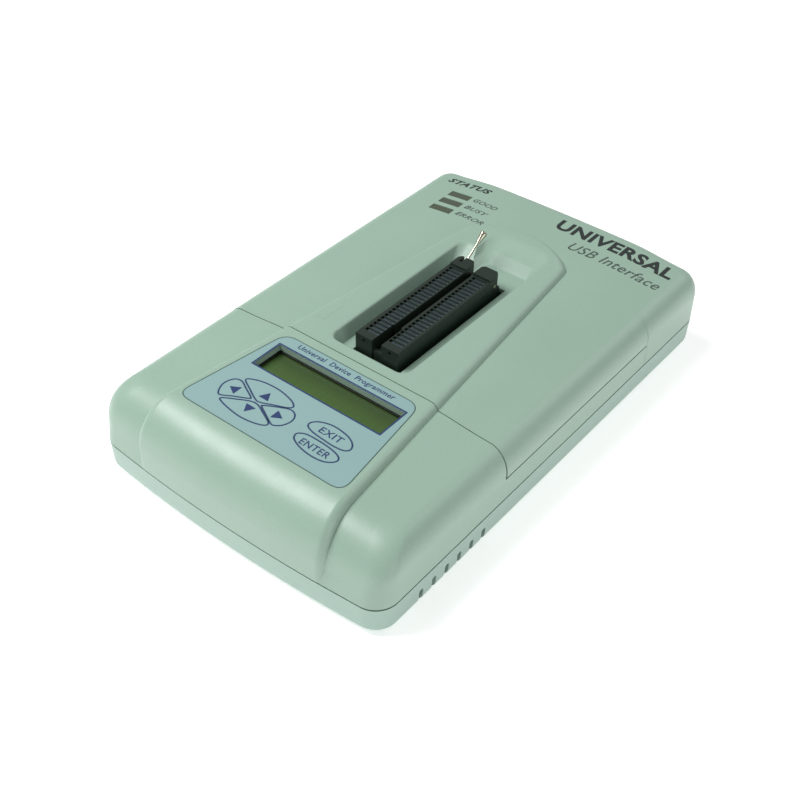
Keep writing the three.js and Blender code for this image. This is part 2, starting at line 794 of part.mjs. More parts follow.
function socketBase() {
  const left = socketX - socketHalf;
  const right = socketX + socketHalf;
  const railBack = socketBackY - endBlockLength;
  const body = block(left, right, socketFrontY, socketBackY, socketBottom, recessFloor + 2)
    .add(block(left, right, socketFrontY, railBack + 2, socketBottom, socketTop));
  const ends = endBlockX.map((x) => block(x, x + endBlockWidth, railBack, socketBackY, recessFloor, endBlockTop));
  const contactPocket = railSlotX.map((x) => {
    return block(
      x + gap, x + slotLength - gap, slotFirstY - slotPitch, slotFirstY + slotCount * slotPitch,
      0, socketBottom + 3,
    );
  });
  const contactHoles = railSlotX.map((x) => slotRow(x + gap, slotWidth, slotLength - 2 * gap, socketBottom, socketTop));
  return body
    .add(unite(ends))
    .subtract(unite(railSlotX.map((x) => slotRow(x, slotWidth, slotLength, slotFloor, far))))
    .subtract(unite(contactHoles))
    .subtract(unite(contactPocket))
    .subtract(block(channel.left, channel.right, socketFrontY - 1, socketBackY + 1, channel.bottom, far))
    .subtract(rodX(-far, far, shaftY, shaftZ, shaftRadius + gap))
    .subtract(leverSweep());
}

// One row of contacts on their carrier strip.
function contactRow(x) {
  const width = slotWidth - 2 * gap;
  const strip = block(
    x + 2 * gap, x + slotLength - 2 * gap,
    slotFirstY - slotPitch / 2, slotFirstY + (slotCount - 0.5) * slotPitch,
    socketBottom + gap, socketBottom + 3 - gap,
  );
  return strip.add(slotRow(x + 2 * gap, width, slotLength - 4 * gap, socketBottom + 2, socketTop - 1.3));
}

function slide() {
  const bottom = channel.bottom + gap;
  return block(
    channel.left + gap, channel.right - gap,
    socketFrontY + slideStroke + 2, shaftY - camRadius - slideStroke, bottom, bottom + slideThickness,
  );
}

// Cam shaft with its cam and the bent wire of the lever.
function lever() {
  const left = socketX - socketHalf + 1.2;
  const right = endBlockX[1] + endBlockWidth + 0.8;
  const shaft = rodX(left, right, shaftY, shaftZ, shaftRadius);
  const cam = rodX(channel.left + gap, channel.right - gap, shaftY, shaftZ, camRadius);
  const wire = new THREE.CylinderGeometry(leverWireRadius, leverWireRadius, leverLength - 1, 12);
  wire.translate(0, (leverLength - 1) / 2, 0);
  wire.rotateX(THREE.MathUtils.degToRad(leverAngle));
  wire.translate(leverX, shaftY, shaftZ);
  return shaft.add(cam).add(solid(wire));
}

function knob() {
  const [thin, thick] = knobRadius;
  const profile = [
    [leverWireRadius + gap, 0],
    [thin, 0],
    [thick, knobLength * 0.72],
    [thick, knobLength * 0.86],
    [thick * 0.6, knobLength],
    [0, knobLength],
    [0, knobLength - 1 + gap],
    [leverWireRadius + gap, knobLength - 1 + gap],
    [leverWireRadius + gap, 0],
  ];
  const made = new THREE.LatheGeometry(profile.map(([x, y]) => new THREE.Vector2(x, y)), 16);
  made.translate(0, leverLength - knobLength, 0);
  made.rotateX(THREE.MathUtils.degToRad(leverAngle));
  made.translate(leverX, shaftY, shaftZ);
  return solid(made);
}

function socketBoard() {
  const [width, length, thick] = socketBoardSize;
  const middle = (socketFrontY + socketBackY) / 2;
  return centredBlock(socketX, middle, width, length, socketBoardTop - thick, socketBoardTop);
}

function header(side) {
  const x = socketX + side * (socketBoardSize[0] / 2 - headerSize[0]);
  const middle = (socketFrontY + socketBackY) / 2;
  const top = socketBoardTop - socketBoardSize[2] - gap;
  return centredBlock(x, middle, headerSize[0], headerSize[1], mainBoardTop + gap, top);
}

function socketPieces() {
  return [
    piece("socket_base", socketBase(), socketBlack),
    piece("socket_slide", slide(), socketBlack),
    piece("socket_contacts_left", contactRow(railSlotX[0]), contactMetal),
    piece("socket_contacts_right", contactRow(railSlotX[1]), contactMetal),
    piece("socket_lever", lever(), steel),
    piece("socket_lever_knob", knob(), steel),
    piece("socket_board", socketBoard(), boardGreen),
    piece("header_left", header(-1), chipBlack),
    piece("header_right", header(1), chipBlack),
  ];
}

// ---- lamp pieces ----
function lampPieces() {
  const top = lampTop();
  const boardTop = top - lampDepth - 2 - 2 * gap;
  const [width, length, thick] = lampBoardSize;
  const board = centredBlock(lampX, lampY, width, length, boardTop - thick, boardTop)
    .subtract(lampPosts(1.1 + gap, 0, far));
  const pieces = [piece("lamp_board", board, boardGreen)];
  for (const [name, y] of Object.entries(lampPlaces())) {
    const window = centredBlock(lampX, y, lampSize[0] - 2 * gap, lampSize[1] - 2 * gap, top - lampDepth, top);
    const chip = centredBlock(lampX, y, 3.5, 2.8, boardTop + gap, top - lampDepth - gap);
    pieces.push(piece("lamp_window_" + name, window, lampOlive));
    pieces.push(piece("lamp_" + name, chip, ledClear));
  }
  return pieces;
}

// ---- pieces on the main board ----
function mainBoardPiece() {
  const holes = boardScrewPlaces().map(([x, y]) => post(x, y, boardScrew.shaft + gap, 0, far));
  return block(...mainBoard.x, ...mainBoardY, mainBoard.bottom, mainBoardTop).subtract(unite(holes));
}

function boardScrewPiece([x, y]) {
  const seat = mainBoardTop + gap;
  return post(x, y, boardScrew.head, seat, seat + boardScrew.headHeight)
    .add(post(x, y, boardScrew.shaft, seat - boardScrew.length + 2 * gap, seat + 1, 12));
}

function usbSocket() {
  const [width, length, height] = usb.size;
  const bottom = mainBoardTop + gap;
  const middle = bottom + height / 2;
  const [mouthWidth, mouthHeight] = usb.mouth;
  const mouth = block(
    usb.x - mouthWidth / 2, usb.x + mouthWidth / 2, usbFace - usb.depth, usbFace + 1,
    middle - mouthHeight / 2, middle + mouthHeight / 2,
  );
  const tongueTip = usbFace - usb.tongueSet;
  const tongue = block(usb.x - 2.8, usb.x + 2.8, usbFace - usb.depth - 1, tongueTip, middle - 1.6, middle + 1.6);
  return centredBlock(usb.x, usbFace - length / 2, width, length, bottom, bottom + height)
    .subtract(mouth)
    .add(tongue);
}

function powerSocket() {
  const [width, length, height] = power.size;
  const bottom = mainBoardTop + gap;
  const middle = bottom + height / 2;
  return centredBlock(power.x, powerFace - length / 2, width, length, bottom, bottom + height)
    .subtract(rodY(power.x, powerFace - power.depth, powerFace + 1, middle, power.bore, 20))
    .add(rodY(power.x, powerFace - power.depth - 1, powerFace - power.pinSet, middle, power.pin, 12));
}

function boardPieces() {
  const base = mainBoardTop + gap;
  const pieces = [
    piece("main_board", mainBoardPiece(), boardGreen),
    piece("logic_chip", centredBlock(socketX, 10, 24, 24, base, base + 3.4), chipBlack),
    piece("memory_chip", centredBlock(socketX, -38, 18, 12, base, base + 2.6), chipBlack),
    piece("power_coil", centredBlock(40, 84, 12, 12, base, base + 7), chipBlack),
    piece("power_capacitor", post(-40, 84, 6.3, base, base + 14), steel),
    piece("usb_socket", usbSocket(), steel),
    piece("power_socket", powerSocket(), chipBlack),
  ];
  boardScrewPlaces().forEach((at, i) => pieces.push(piece("board_screw_" + (i + 1), boardScrewPiece(at), steel)));
  return pieces;
}

const programmer = new THREE.Group();
programmer.name = "device_programmer";
programmer.add(...housing(), ...consolePieces(), ...socketPieces(), ...lampPieces(), ...boardPieces());

export default programmer;
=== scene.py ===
"""Studio model of a universal device programmer.

A low housing in three mouldings carries a console with a display and six keys, a test socket
with a lever in a recess, three status lamps, and two connectors in its back wall.
Sizes are in millimetres and become metres as a shape is made.
"""

import json
import logging
import math
from collections.abc import Callable, Iterable, Sequence
from dataclasses import dataclass, field
from enum import Enum

import bmesh
import bpy
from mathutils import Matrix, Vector


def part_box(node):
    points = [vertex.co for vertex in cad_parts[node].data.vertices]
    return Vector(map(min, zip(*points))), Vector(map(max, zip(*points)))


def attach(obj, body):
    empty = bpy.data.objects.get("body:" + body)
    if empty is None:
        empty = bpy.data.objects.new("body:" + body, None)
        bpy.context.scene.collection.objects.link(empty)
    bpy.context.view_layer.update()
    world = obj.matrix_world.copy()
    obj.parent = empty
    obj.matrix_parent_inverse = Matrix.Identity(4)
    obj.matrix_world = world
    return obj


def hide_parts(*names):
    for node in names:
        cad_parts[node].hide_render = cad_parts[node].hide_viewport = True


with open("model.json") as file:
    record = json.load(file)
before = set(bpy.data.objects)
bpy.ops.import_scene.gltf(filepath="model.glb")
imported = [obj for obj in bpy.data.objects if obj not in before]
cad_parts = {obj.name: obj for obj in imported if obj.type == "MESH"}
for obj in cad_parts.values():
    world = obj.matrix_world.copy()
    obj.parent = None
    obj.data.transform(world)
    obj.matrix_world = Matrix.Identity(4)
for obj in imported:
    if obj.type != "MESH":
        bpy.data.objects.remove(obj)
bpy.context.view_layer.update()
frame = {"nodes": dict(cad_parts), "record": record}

MM = 0.001
CAPITAL_HEIGHT = 0.729  # of a letter of the built-in font, at size one
INK_RISE = 0.07  # how far a printed word stands out of its surface
INK_ROOT = 0.05  # how far it reaches into it
HOUSING = "housing"
log = logging.getLogger("programmer")

Spot = tuple[float, float]
Place = tuple[float, float, float]
Colour = tuple[float, float, float]


def near(node: str) -> tuple[Vector, Vector]:
    """Gives the box of a node of the frame.

    Args:
        node: name of the node.

    Returns:
        Its lowest and highest corners, in millimetres.
    """
    low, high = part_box(node)
    return low / MM, high / MM


# ---- shader arithmetic -------------------------------------------------------------------


class Wire:
    """A shader socket that takes part in arithmetic."""

    def __init__(self, graph: "Graph", socket: bpy.types.NodeSocket) -> None:
        """Keeps the socket and the graph it belongs to.

        Args:
            graph: graph that new nodes are added to.
            socket: output socket.
        """
        self.graph = graph
        self.socket = socket

    def _maths(self, operation: str, first: object, second: object) -> "Wire":
        """Adds one Math node.

        Args:
            operation: what the node does.
            first: its first value.
            second: its second value.

        Returns:
            The node's result.
        """
        return self.graph.add("ShaderNodeMath", {"operation": operation}, {0: first, 1: second})

    def __add__(self, other: object) -> "Wire":
        """Sum."""
        return self._maths("ADD", self, other)

    __radd__ = __add__

    def __sub__(self, other: object) -> "Wire":
        """Difference."""
        return self._maths("SUBTRACT", self, other)

    def __rsub__(self, other: object) -> "Wire":
        """Reflected difference."""
        return self._maths("SUBTRACT", other, self)

    def __mul__(self, other: object) -> "Wire":
        """Product."""
        return self._maths("MULTIPLY", self, other)

    __rmul__ = __mul__

    def __gt__(self, other: object) -> "Wire":
        """One where this is greater, else nought."""
        return self._maths("GREATER_THAN", self, other)

    def wrapped(self, size: float) -> "Wire":
        """Remainder after whole steps of a size, from nought to that size."""
        return self.graph.add("ShaderNodeMath", {"operation": "WRAP"}, {0: self, 1: size, 2: 0.0})


class Graph:
    """The node tree of one material under construction."""

    def __init__(self, name: str) -> None:
        """Starts a material with a Principled shader.

        Args:
            name: name of the material.
        """
        self.material = bpy.data.materials.new(name)
        self.material.use_nodes = True
        self.tree = self.material.node_tree
        self.shader = self.tree.nodes["Principled BSDF"]
        self.place = self.add("ShaderNodeTexCoord", {}, {}, "Object")

    def add(
        self,
        kind: str,
        settings: dict[str, object],
        inputs: dict[object, object],
        output: object = 0,
    ) -> Wire:
        """Adds a node.

        Args:
            kind: type of the node.
            settings: properties, set first.
            inputs: values or wires of its sockets.
            output: the output that is wanted.

        Returns:
            That output.
        """
        node = self.tree.nodes.new(kind)
        for key, value in settings.items():
            setattr(node, key, value)
        for key, value in inputs.items():
            self.feed(node.inputs[key], value)
        return Wire(self, node.outputs[output])

    def feed(self, socket: bpy.types.NodeSocket, value: object) -> None:
        """Sets a socket to a value, or links a wire to it.

        Args:
            socket: input socket.
            value: number, colour or wire.
        """
        if isinstance(value, Wire):
            self.tree.links.new(value.socket, socket)
        else:
            socket.default_value = value

    def noise(self, size: float, detail: float = 2.0, stretch: Place = (1, 1, 1)) -> Wire:
        """Adds soft noise.

        Args:
            size: size of one feature in millimetres.
            detail: how many finer layers it has.
            stretch: scale along each axis.

        Returns:
            Noise from nought to one.
        """
        place = self.add("ShaderNodeMapping", {}, {"Vector": self.place, "Scale": stretch})
        return self.add(
            "ShaderNodeTexNoise", {}, {"Vector": place, "Scale": 1 / (size * MM), "Detail": detail}
        )

    def ramp(self, value: Wire, low: float, high: float) -> Wire:
        """Stretches a range of a value to nought to one.

        Args:
            value: the value.
            low: what becomes nought.
            high: what becomes one.

        Returns:
            The stretched value.
        """
        return self.add("ShaderNodeMapRange", {}, {"Value": value, "From Min": low, "From Max": high})

    def mix(self, factor: Wire, first: object, second: object) -> Wire:
        """Mixes two colours.

        Args:
            factor: share of the second colour.
            first: colour or wire.
            second: colour or wire.

        Returns:
            The mixed colour.
        """
        return self.add(
            "ShaderNodeMix", {"data_type": "RGBA"}, {"Factor": factor, 6: first, 7: second}, 2
        )

    def bump(self, height: Wire, depth: float) -> None:
        """Feeds a height to the shader's normal.

        Args:
            height: height from nought to one.
            depth: what one stands for, in millimetres.
        """
        normal = self.add(
            "ShaderNodeBump", {}, {"Height": height, "Distance": depth * MM, "Strength": 1.0}
        )
        self.feed(self.shader.inputs["Normal"], normal)

    def set(self, **values: object) -> None:
        """Sets inputs of the shader; an underscore stands for a space."""
        for key, value in values.items():
            self.feed(self.shader.inputs[key.replace("_", " ")], value)


def rgba(colour: Colour, share: float = 1.0) -> tuple[float, float, float, float]:
    """Makes an opaque colour.

    Args:
        colour: linear red, green and blue.
        share: how much of it is kept.

    Returns:
        Four channels.
    """
    return (colour[0] * share, colour[1] * share, colour[2] * share, 1.0)


# ---- finishes ----------------------------------------------------------------------------


@dataclass(frozen=True)
class Finish:
    """A surface finish; its material is made once."""

    name: str
    slot: str
    colour: Colour
    roughness: float = 0.45

    def material(self) -> bpy.types.Material:
        """Gives the material, made at its first use.

        Returns:
            The material.
        """
        known = bpy.data.materials.get(self.name)
        if known:
            return known
        graph = Graph(self.name)
        self.paint(graph)
        return graph.material

    def paint(self, graph: Graph) -> None:
        """Builds the look.

        Args:
            graph: the material's graph.
        """
        raise NotImplementedError


@dataclass(frozen=True)
class Moulded(Finish):
    """Injection moulded plastic with a spark-eroded grain."""

    grain: float = 0.55
    depth: float = 0.012
    mottle: float = 0.05

    def paint(self, graph: Graph) -> None:
        """Builds the look.

        Args:
            graph: the material's graph.
        """
        cloud = graph.noise(45, 3)
        speck = graph.ramp(graph.noise(1.4, 2), 0.35, 0.65)
        tone = graph.mix(cloud, rgba(self.colour, 1 - self.mottle), rgba(self.colour, 1 + self.mottle))
        tone = graph.mix(speck * 0.5, tone, rgba(self.colour, 0.965))
        rub = graph.ramp(graph.noise(14, 4, (1, 0.25, 1)), 0.4, 0.75)
        grain = graph.noise(self.grain, 3)
        graph.set(
            Base_Color=tone,
            Roughness=self.roughness + (cloud - 0.5) * 0.1 - rub * 0.05,
            Specular_IOR_Level=0.5,
        )
        graph.bump(grain + speck * 0.3, self.depth)


@dataclass(frozen=True)
class Film(Finish):
    """Printed polyester film with a fine matt texture."""

    def paint(self, graph: Graph) -> None:
        """Builds the look.

        Args:
            graph: the material's graph.
        """
        cloud = graph.noise(25, 3)
        weave = graph.noise(0.3, 2)
        tone = graph.mix(cloud, rgba(self.colour, 0.97), rgba(self.colour, 1.03))
        graph.set(Base_Color=tone, Roughness=self.roughness + (weave - 0.5) * 0.15)
        graph.bump(weave, 0.004)


@dataclass(frozen=True)
class Ink(Finish):
    """Screen-printed ink, a little uneven in density."""

    def paint(self, graph: Graph) -> None:
        """Builds the look.

        Args:
            graph: the material's graph.
        """
        density = graph.ramp(graph.noise(0.8, 3), 0.3, 0.8)
        graph.set(
            Base_Color=graph.mix(density, rgba(self.colour), rgba(self.colour, 1.35)),
            Roughness=self.roughness + (density - 0.5) * 0.15,
        )


@dataclass(frozen=True)
class Metal(Finish):
    """Plated or polished metal with fine draw marks."""

    marks: Place = (1, 8, 8)
    depth: float = 0.003

    def paint(self, graph: Graph) -> None:
        """Builds the look.

        Args:
            graph: the material's graph.
        """
        lines = graph.noise(1.2, 4, self.marks)
        tarnish = graph.noise(5, 3)
        graph.set(
            Base_Color=graph.mix(tarnish, rgba(self.colour, 0.86), rgba(self.colour, 1.06)),
            Metallic=1.0,
            Roughness=self.roughness + (lines - 0.5) * 0.12 + (tarnish - 0.5) * 0.1,
        )
        graph.bump(lines, self.depth)


@dataclass(frozen=True)
class DisplayGlass(Finish):
    """Unlit character display: olive film with a faint print of its cells, and painted shade, darker towards
    the back of the window and lighter towards the front.
    """

    cell: Spot = (3.55, 5.95)
    corner: Spot = (0.0, 0.0)
    # back and front edge of the painted shade: darkest at the first, lightest at the second
    painted_shade: Spot = (-54.0, -69.0)

    def paint(self, graph: Graph) -> None:
        """Builds the look.

        Args:
            graph: the material's graph.
        """
        axes = graph.tree.nodes.new("ShaderNodeSeparateXYZ")
        graph.feed(axes.inputs[0], graph.place)
        across = (Wire(graph, axes.outputs[0]) - self.corner[0] * MM).wrapped(self.cell[0] * MM)
        along = (Wire(graph, axes.outputs[1]) - self.corner[1] * MM).wrapped(self.cell[1] * MM)
        inside = (across > 0.6 * MM) * (along > 0.75 * MM)
        cloud = graph.noise(18, 2)
        # painted shade: the film is darkened towards the back, where the window's edge shades it, and
        # lightened towards the front
        painted_shade = graph.ramp(Wire(graph, axes.outputs[1]), self.painted_shade[0] * MM, self.painted_shade[1] * MM)
        tone = graph.mix(painted_shade + (cloud - 0.5) * 0.2, rgba(self.colour, 0.7), rgba(self.colour, 1.6))
        graph.set(
            Base_Color=graph.mix(inside * 0.3, tone, rgba(self.colour, 0.9)),
            Roughness=self.roughness + cloud * 0.05,
            Coat_Weight=0.5,
            Coat_Roughness=0.12,
        )


@dataclass(frozen=True)
class Board(Finish):
    """Circuit board with solder resist over copper tracks."""

    def paint(self, graph: Graph) -> None:
        """Builds the look.

        Args:
            graph: the material's graph.
        """
        tracks = graph.ramp(graph.noise(2.2, 0, (1, 0.2, 1)), 0.48, 0.52)
        graph.set(
            Base_Color=graph.mix(tracks, rgba(self.colour), rgba(self.colour, 1.5)),
            Roughness=self.roughness + tracks * 0.08,
        )
        graph.bump(tracks, 0.03)


@dataclass(frozen=True)
class Rubber(Finish):
    """Dull rubber with a dusty, pitted skin."""

    def paint(self, graph: Graph) -> None:
        """Builds the look.

        Args:
            graph: the material's graph.
        """
        dust = graph.ramp(graph.noise(3, 4), 0.45, 0.8)
        pits = graph.noise(0.5, 3)
        graph.set(
            Base_Color=graph.mix(dust, rgba(self.colour), rgba(self.colour, 1.9)),
            Roughness=self.roughness + dust * 0.08,
        )
        graph.bump(pits, 0.03)


CASE = Moulded("case plastic", "case_green", (0.262, 0.378, 0.305), 0.4, 0.6, 0.045)
# painted light: the tray plastic is the case plastic set a little lighter, standing in for light the white
# floor bounces onto the tray
TRAY = Moulded("tray plastic", "lower_green", (0.285, 0.405, 0.345), 0.42, 0.6, 0.03)
OVERLAY = Film("overlay film", "overlay_blue", (0.22, 0.35, 0.345), 0.4)
KEYTOP = Film("key film", "key_blue", (0.225, 0.356, 0.35), 0.38)
BLUE_INK = Ink("blue ink", "overlay_blue", (0.012, 0.028, 0.1), 0.5)
BLACK_INK = Ink("black ink", "case_green", (0.014, 0.02, 0.019), 0.5)
GREY_INK = Ink("grey ink", "case_green", (0.05, 0.072, 0.06), 0.5)
PALE_INK = Ink("pale ink", "case_green", (0.2, 0.29, 0.235), 0.5)
EDGE_INK = Ink("edge ink", "overlay_blue", (0.07, 0.12, 0.11), 0.5)
SOCKET = Moulded("socket plastic", "socket_black", (0.009, 0.018, 0.012), 0.5, 0.4, 0.03, 0.15)
BLACK = Moulded("component plastic", "part_black", (0.02, 0.021, 0.023), 0.5, 0.3, 0.02, 0.1)
LAMP = Moulded("lamp window", "lamp_olive", (0.062, 0.08, 0.052), 0.3, 0.8, 0.006, 0.1)
LED = Moulded("lamp lens", "lamp_clear", (0.7, 0.72, 0.6), 0.25, 0.8, 0.004, 0.03)
CONTACT = Metal("spring contact", "contact_metal", (0.13, 0.18, 0.2), 0.48)
# painted reflection: the lever steel's colour is darkened to stand in for dark surroundings reflected in the
# polished wire
CHROME = Metal("lever steel", "lever_steel", (0.4, 0.4, 0.31), 0.22, (8, 1, 1), 0.0002)
SCREW = Metal("screw steel", "screw_steel", (0.5, 0.5, 0.48), 0.3)
SHELL = Metal("connector shell", "shell_metal", (0.6, 0.61, 0.6), 0.25)
CAN = Metal("capacitor can", "can_metal", (0.55, 0.57, 0.6), 0.3)
FRAME = Metal("display frame", "frame_metal", (0.055, 0.058, 0.05), 0.5)
GREEN_BOARD = Board("circuit board", "board_green", (0.012, 0.11, 0.04), 0.35)
FOOT = Rubber("foot rubber", "foot_rubber", (0.02, 0.021, 0.021), 0.8)


# ---- the bench ---------------------------------------------------------------------------


class Axis(Enum):
    """Direction of a rod, as the turn of an upright cylinder."""

    X = (0.0, math.pi / 2, 0.0)
    Y = (math.pi / 2, 0.0, 0.0)
    Z = (0.0, 0.0, 0.0)


class Plane(Enum):
    """Plane that an outline is drawn in before it is raised."""

    PLAN = "xy"
    SIDE = "yz"


class Work:
    """One solid on the bench, shaped with the modelling operators."""

    def __init__(self, name: str, obj: bpy.types.Object) -> None:
        """Takes an object under its name.

        Args:
            name: name of the piece.
            obj: the object.
        """
        self.obj = obj
        obj.name = obj.data.name = name

    # -- starting shapes --

    @staticmethod
    def clear() -> None:
        """Leaves edit mode and deselects everything."""
        if bpy.context.mode != "OBJECT":
            bpy.ops.object.mode_set(mode="OBJECT")
        bpy.ops.object.select_all(action="DESELECT")

    @classmethod
    def taken(cls, name: str) -> "Work":
        """Takes the object that was just added and puts its place in its mesh.

        Args:
            name: name of the piece.

        Returns:
            The work.
        """
        bpy.ops.object.transform_apply(location=True, rotation=True, scale=True)
        return cls(name, bpy.context.active_object)

    @classmethod
    def block(cls, name: str, low: Place, high: Place) -> "Work":
        """Adds a block.

        Args:
            name: name of the piece.
            low: its lowest corner.
            high: its highest corner.

        Returns:
            The work.
        """
        cls.clear()
        middle = [(a + b) / 2 * MM for a, b in zip(low, high)]
        size = [(b - a) * MM for a, b in zip(low, high)]
        bpy.ops.mesh.primitive_cube_add(size=1, location=middle, scale=size)
        return cls.taken(name)

    @classmethod
    def rod(
        cls, name: str, middle: Place, radius: float, length: float, axis: Axis = Axis.Z, sides: int = 32
    ) -> "Work":
        """Adds a rod.

        Args:
            name: name of the piece.
            middle: its middle.
            radius: its radius.
            length: its length.
            axis: its direction.
            sides: number of its sides.

        Returns:
            The work.
        """
        cls.clear()
        bpy.ops.mesh.primitive_cylinder_add(
            vertices=sides,
            radius=radius * MM,
            depth=length * MM,
            location=[v * MM for v in middle],
            rotation=axis.value,
        )
        return cls.taken(name)

    @classmethod
    def drawn(
        cls, name: str, points: Sequence[Spot], start: float, end: float, plane: Plane = Plane.PLAN
    ) -> "Work":
        """Raises an outline.

        Args:
            name: name of the piece.
            points: corners of the outline.
            start: level it starts at.
            end: level it ends at.
            plane: plane it is drawn in.

        Returns:
            The work.
        """
        cls.clear()
        bpy.ops.mesh.primitive_circle_add(vertices=len(points), radius=1, fill_type="NGON")
        work = cls.taken(name)
        for vert, (a, b) in zip(work.obj.data.vertices, points):
            spot = (a, b, start) if plane is Plane.PLAN else (start, a, b)
            vert.co = Vector(spot) * MM
        rise = (end - start) * MM
        step = (0, 0, rise) if plane is Plane.PLAN else (rise, 0, 0)
        with work.editing():
            bpy.ops.mesh.select_all(action="SELECT")
            bpy.ops.mesh.extrude_region_move(TRANSFORM_OT_translate={"value": step})
        return work.face_out()

    @classmethod
    def turned(cls, name: str, profile: Sequence[Spot], sides: int = 32) -> "Work":
        """Extrudes and resizes a disc step by step, as on a lathe, upwards from the origin.

        Args:
            name: name of the piece.
            profile: radius and height of each step.
            sides: number of sides.

        Returns:
            The work.
        """
        cls.clear()
        radius, level = profile[0]
        bpy.ops.mesh.primitive_circle_add(
            vertices=sides, radius=radius * MM, fill_type="NGON", location=(0, 0, level * MM)
        )
        work = cls.taken(name)
        with work.editing():
            bpy.ops.mesh.select_all(action="SELECT")
            for wide, high in profile[1:]:
                bpy.ops.mesh.extrude_region_move(
                    TRANSFORM_OT_translate={"value": (0, 0, (high - level) * MM)}
                )
                ratio = wide / radius
                bpy.ops.transform.resize(value=(ratio, ratio, 1), center_override=(0, 0, high * MM))
                radius, level = wide, high
        return work.face_out()

    @classmethod
    def skin(cls, name: str, rings: Sequence[Sequence[Place]], strips: int = 0) -> "Work":
        """Skins a stack of rings whose points pair up, which blends one outline into the next.

        Args:
            name: name of the piece.
            rings: the rings, lowest first.
            strips: points of the first edge that pair with the opposite edge in the top cap.

        Returns:
            The work.
        """
        cls.clear()
        mesh = bpy.data.meshes.new(name)
        build = bmesh.new()
        layers = [[build.verts.new(Vector(p) * MM) for p in ring] for ring in rings]
        count = len(rings[0])
        for lower, upper in zip(layers, layers[1:]):
            for i in range(count):
                j = (i + 1) % count
                build.faces.new((lower[i], lower[j], upper[j], upper[i]))
        build.faces.new(list(reversed(layers[0])))
        top = layers[-1]
        half = count // 2
        if strips:
            for i in range(strips):
                build.faces.new((top[i], top[i + 1], top[half + strips - i - 1], top[half + strips - i]))
            build.faces.new(top[strips : half + 1])
            build.faces.new(top[half + strips :] + top[:1])
        else:
            build.faces.new(top)
        build.normal_update()
        build.to_mesh(mesh)
        build.free()
        obj = bpy.data.objects.new(name, mesh)
        bpy.context.scene.collection.objects.link(obj)
        return cls(name, obj).face_out()

    @classmethod
    def band(cls, name: str, outer: Sequence[Spot], inner: Sequence[Spot], low: float, high: float) -> "Work":
        """Makes a closed flat ring between two outlines.

        Args:
            name: name of the piece.
            outer: outer outline.
            inner: inner outline with as many points.
            low: level of its underside.
            high: level of its top.

        Returns:
            The work.
        """
        loops = [(outer, low), (outer, high), (inner, high), (inner, low), (outer, low)]
        mesh = bpy.data.meshes.new(name)
        build = bmesh.new()
        layers = [[build.verts.new((x * MM, y * MM, z * MM)) for x, y in loop] for loop, z in loops[:4]]
        layers.append(layers[0])
        count = len(outer)
        for first, second in zip(layers, layers[1:]):
            for i in range(count):
                j = (i + 1) % count
                build.faces.new((first[i], first[j], second[j], second[i]))
        build.to_mesh(mesh)
        build.free()
        obj = bpy.data.objects.new(name, mesh)
        bpy.context.scene.collection.objects.link(obj)
        return cls(name, obj).face_out()

    @classmethod
    def lettering(
        cls,
        name: str,
        text: str,
        box: tuple[float, float, float, float],
        level: Callable[[float], float],
        slant: float = 0.0,
        weight: float = 0.0,
    ) -> "Work":
        """Prints a word as a thin solid that fills a box.

        Args:
            name: name of the piece.
            text: the word.
            box: left, right, lowest and highest edge of the capitals.
            level: height of the surface at a place across the case.
            slant: how far the letters lean.
            weight: how much the strokes are thickened.

        Returns:
            The work.
        """
        cls.clear()
        bpy.ops.object.text_add()
        data = bpy.context.active_object.data
        data.body = text
        data.shear = slant
        data.offset = weight
        data.extrude = 0.01
        data.space_character = 1.06
        data.resolution_u = 3
        bpy.ops.object.convert(target="MESH")
        work = cls(name, bpy.context.active_object)
        verts = work.obj.data.vertices
        left, right, low, high = box
        x0, x1 = min(v.co.x for v in verts), max(v.co.x for v in verts)
        for v in verts:
            x = left + (v.co.x - x0) / (x1 - x0) * (right - left)
            y = low + v.co.y / CAPITAL_HEIGHT * (high - low)
            v.co = Vector((x, y, level(x) + (INK_RISE if v.co.z > 0 else -INK_ROOT))) * MM
        with work.editing():
            bpy.ops.mesh.select_all(action="SELECT")
            bpy.ops.mesh.remove_doubles(threshold=1e-6)
        return work.face_out()

    # -- shaping --

    def editing(self) -> "Editing":
        """Gives edit mode as a with-block."""
        return Editing(self)

    def pick(self, test: Callable[[Vector, bmesh.types.BMEdge], bool]) -> None:
        """Selects edges in edit mode.

        Args:
            test: says of an edge's middle in millimetres, and the edge, whether it is wanted.
        """
        bpy.ops.mesh.select_mode(type="EDGE")
        bpy.ops.mesh.select_all(action="DESELECT")
        build = bmesh.from_edit_mesh(self.obj.data)
        for edge in build.edges:
            edge.select_set(bool(test((edge.verts[0].co + edge.verts[1].co) / 2 / MM, edge)))
        bmesh.update_edit_mesh(self.obj.data)

    def bevel(
        self,
        test: Callable[[Vector, bmesh.types.BMEdge], bool],
        width: float,
        steps: int = 3,
        shape: float = 0.5,
    ) -> "Work":
        """Bevels picked edges.

        Args:
            test: which edges, as for pick.
            width: width of the bevel.
            steps: number of its segments.
            shape: its profile, 0.5 for round.

        Returns:
            This work.
        """
        with self.editing():
            self.pick(test)
            bpy.ops.mesh.bevel(
                offset=width * MM, segments=steps, profile=shape, affect="EDGES", clamp_overlap=True
            )
        return self

    def face_out(self) -> "Work":
        """Turns all faces outwards.

        Returns:
            This work.
        """
        with self.editing():
            bpy.ops.mesh.select_all(action="SELECT")
            bpy.ops.mesh.normals_make_consistent(inside=False)
        return self

    def drape(self, level: Callable[[Vector], Vector]) -> "Work":
        """Moves every point by a rule.

        Args:
            level: gives a point's new place from its old one, in millimetres.

        Returns:
            This work.
        """
        for v in self.obj.data.vertices:
            v.co = level(v.co / MM) * MM
        return self

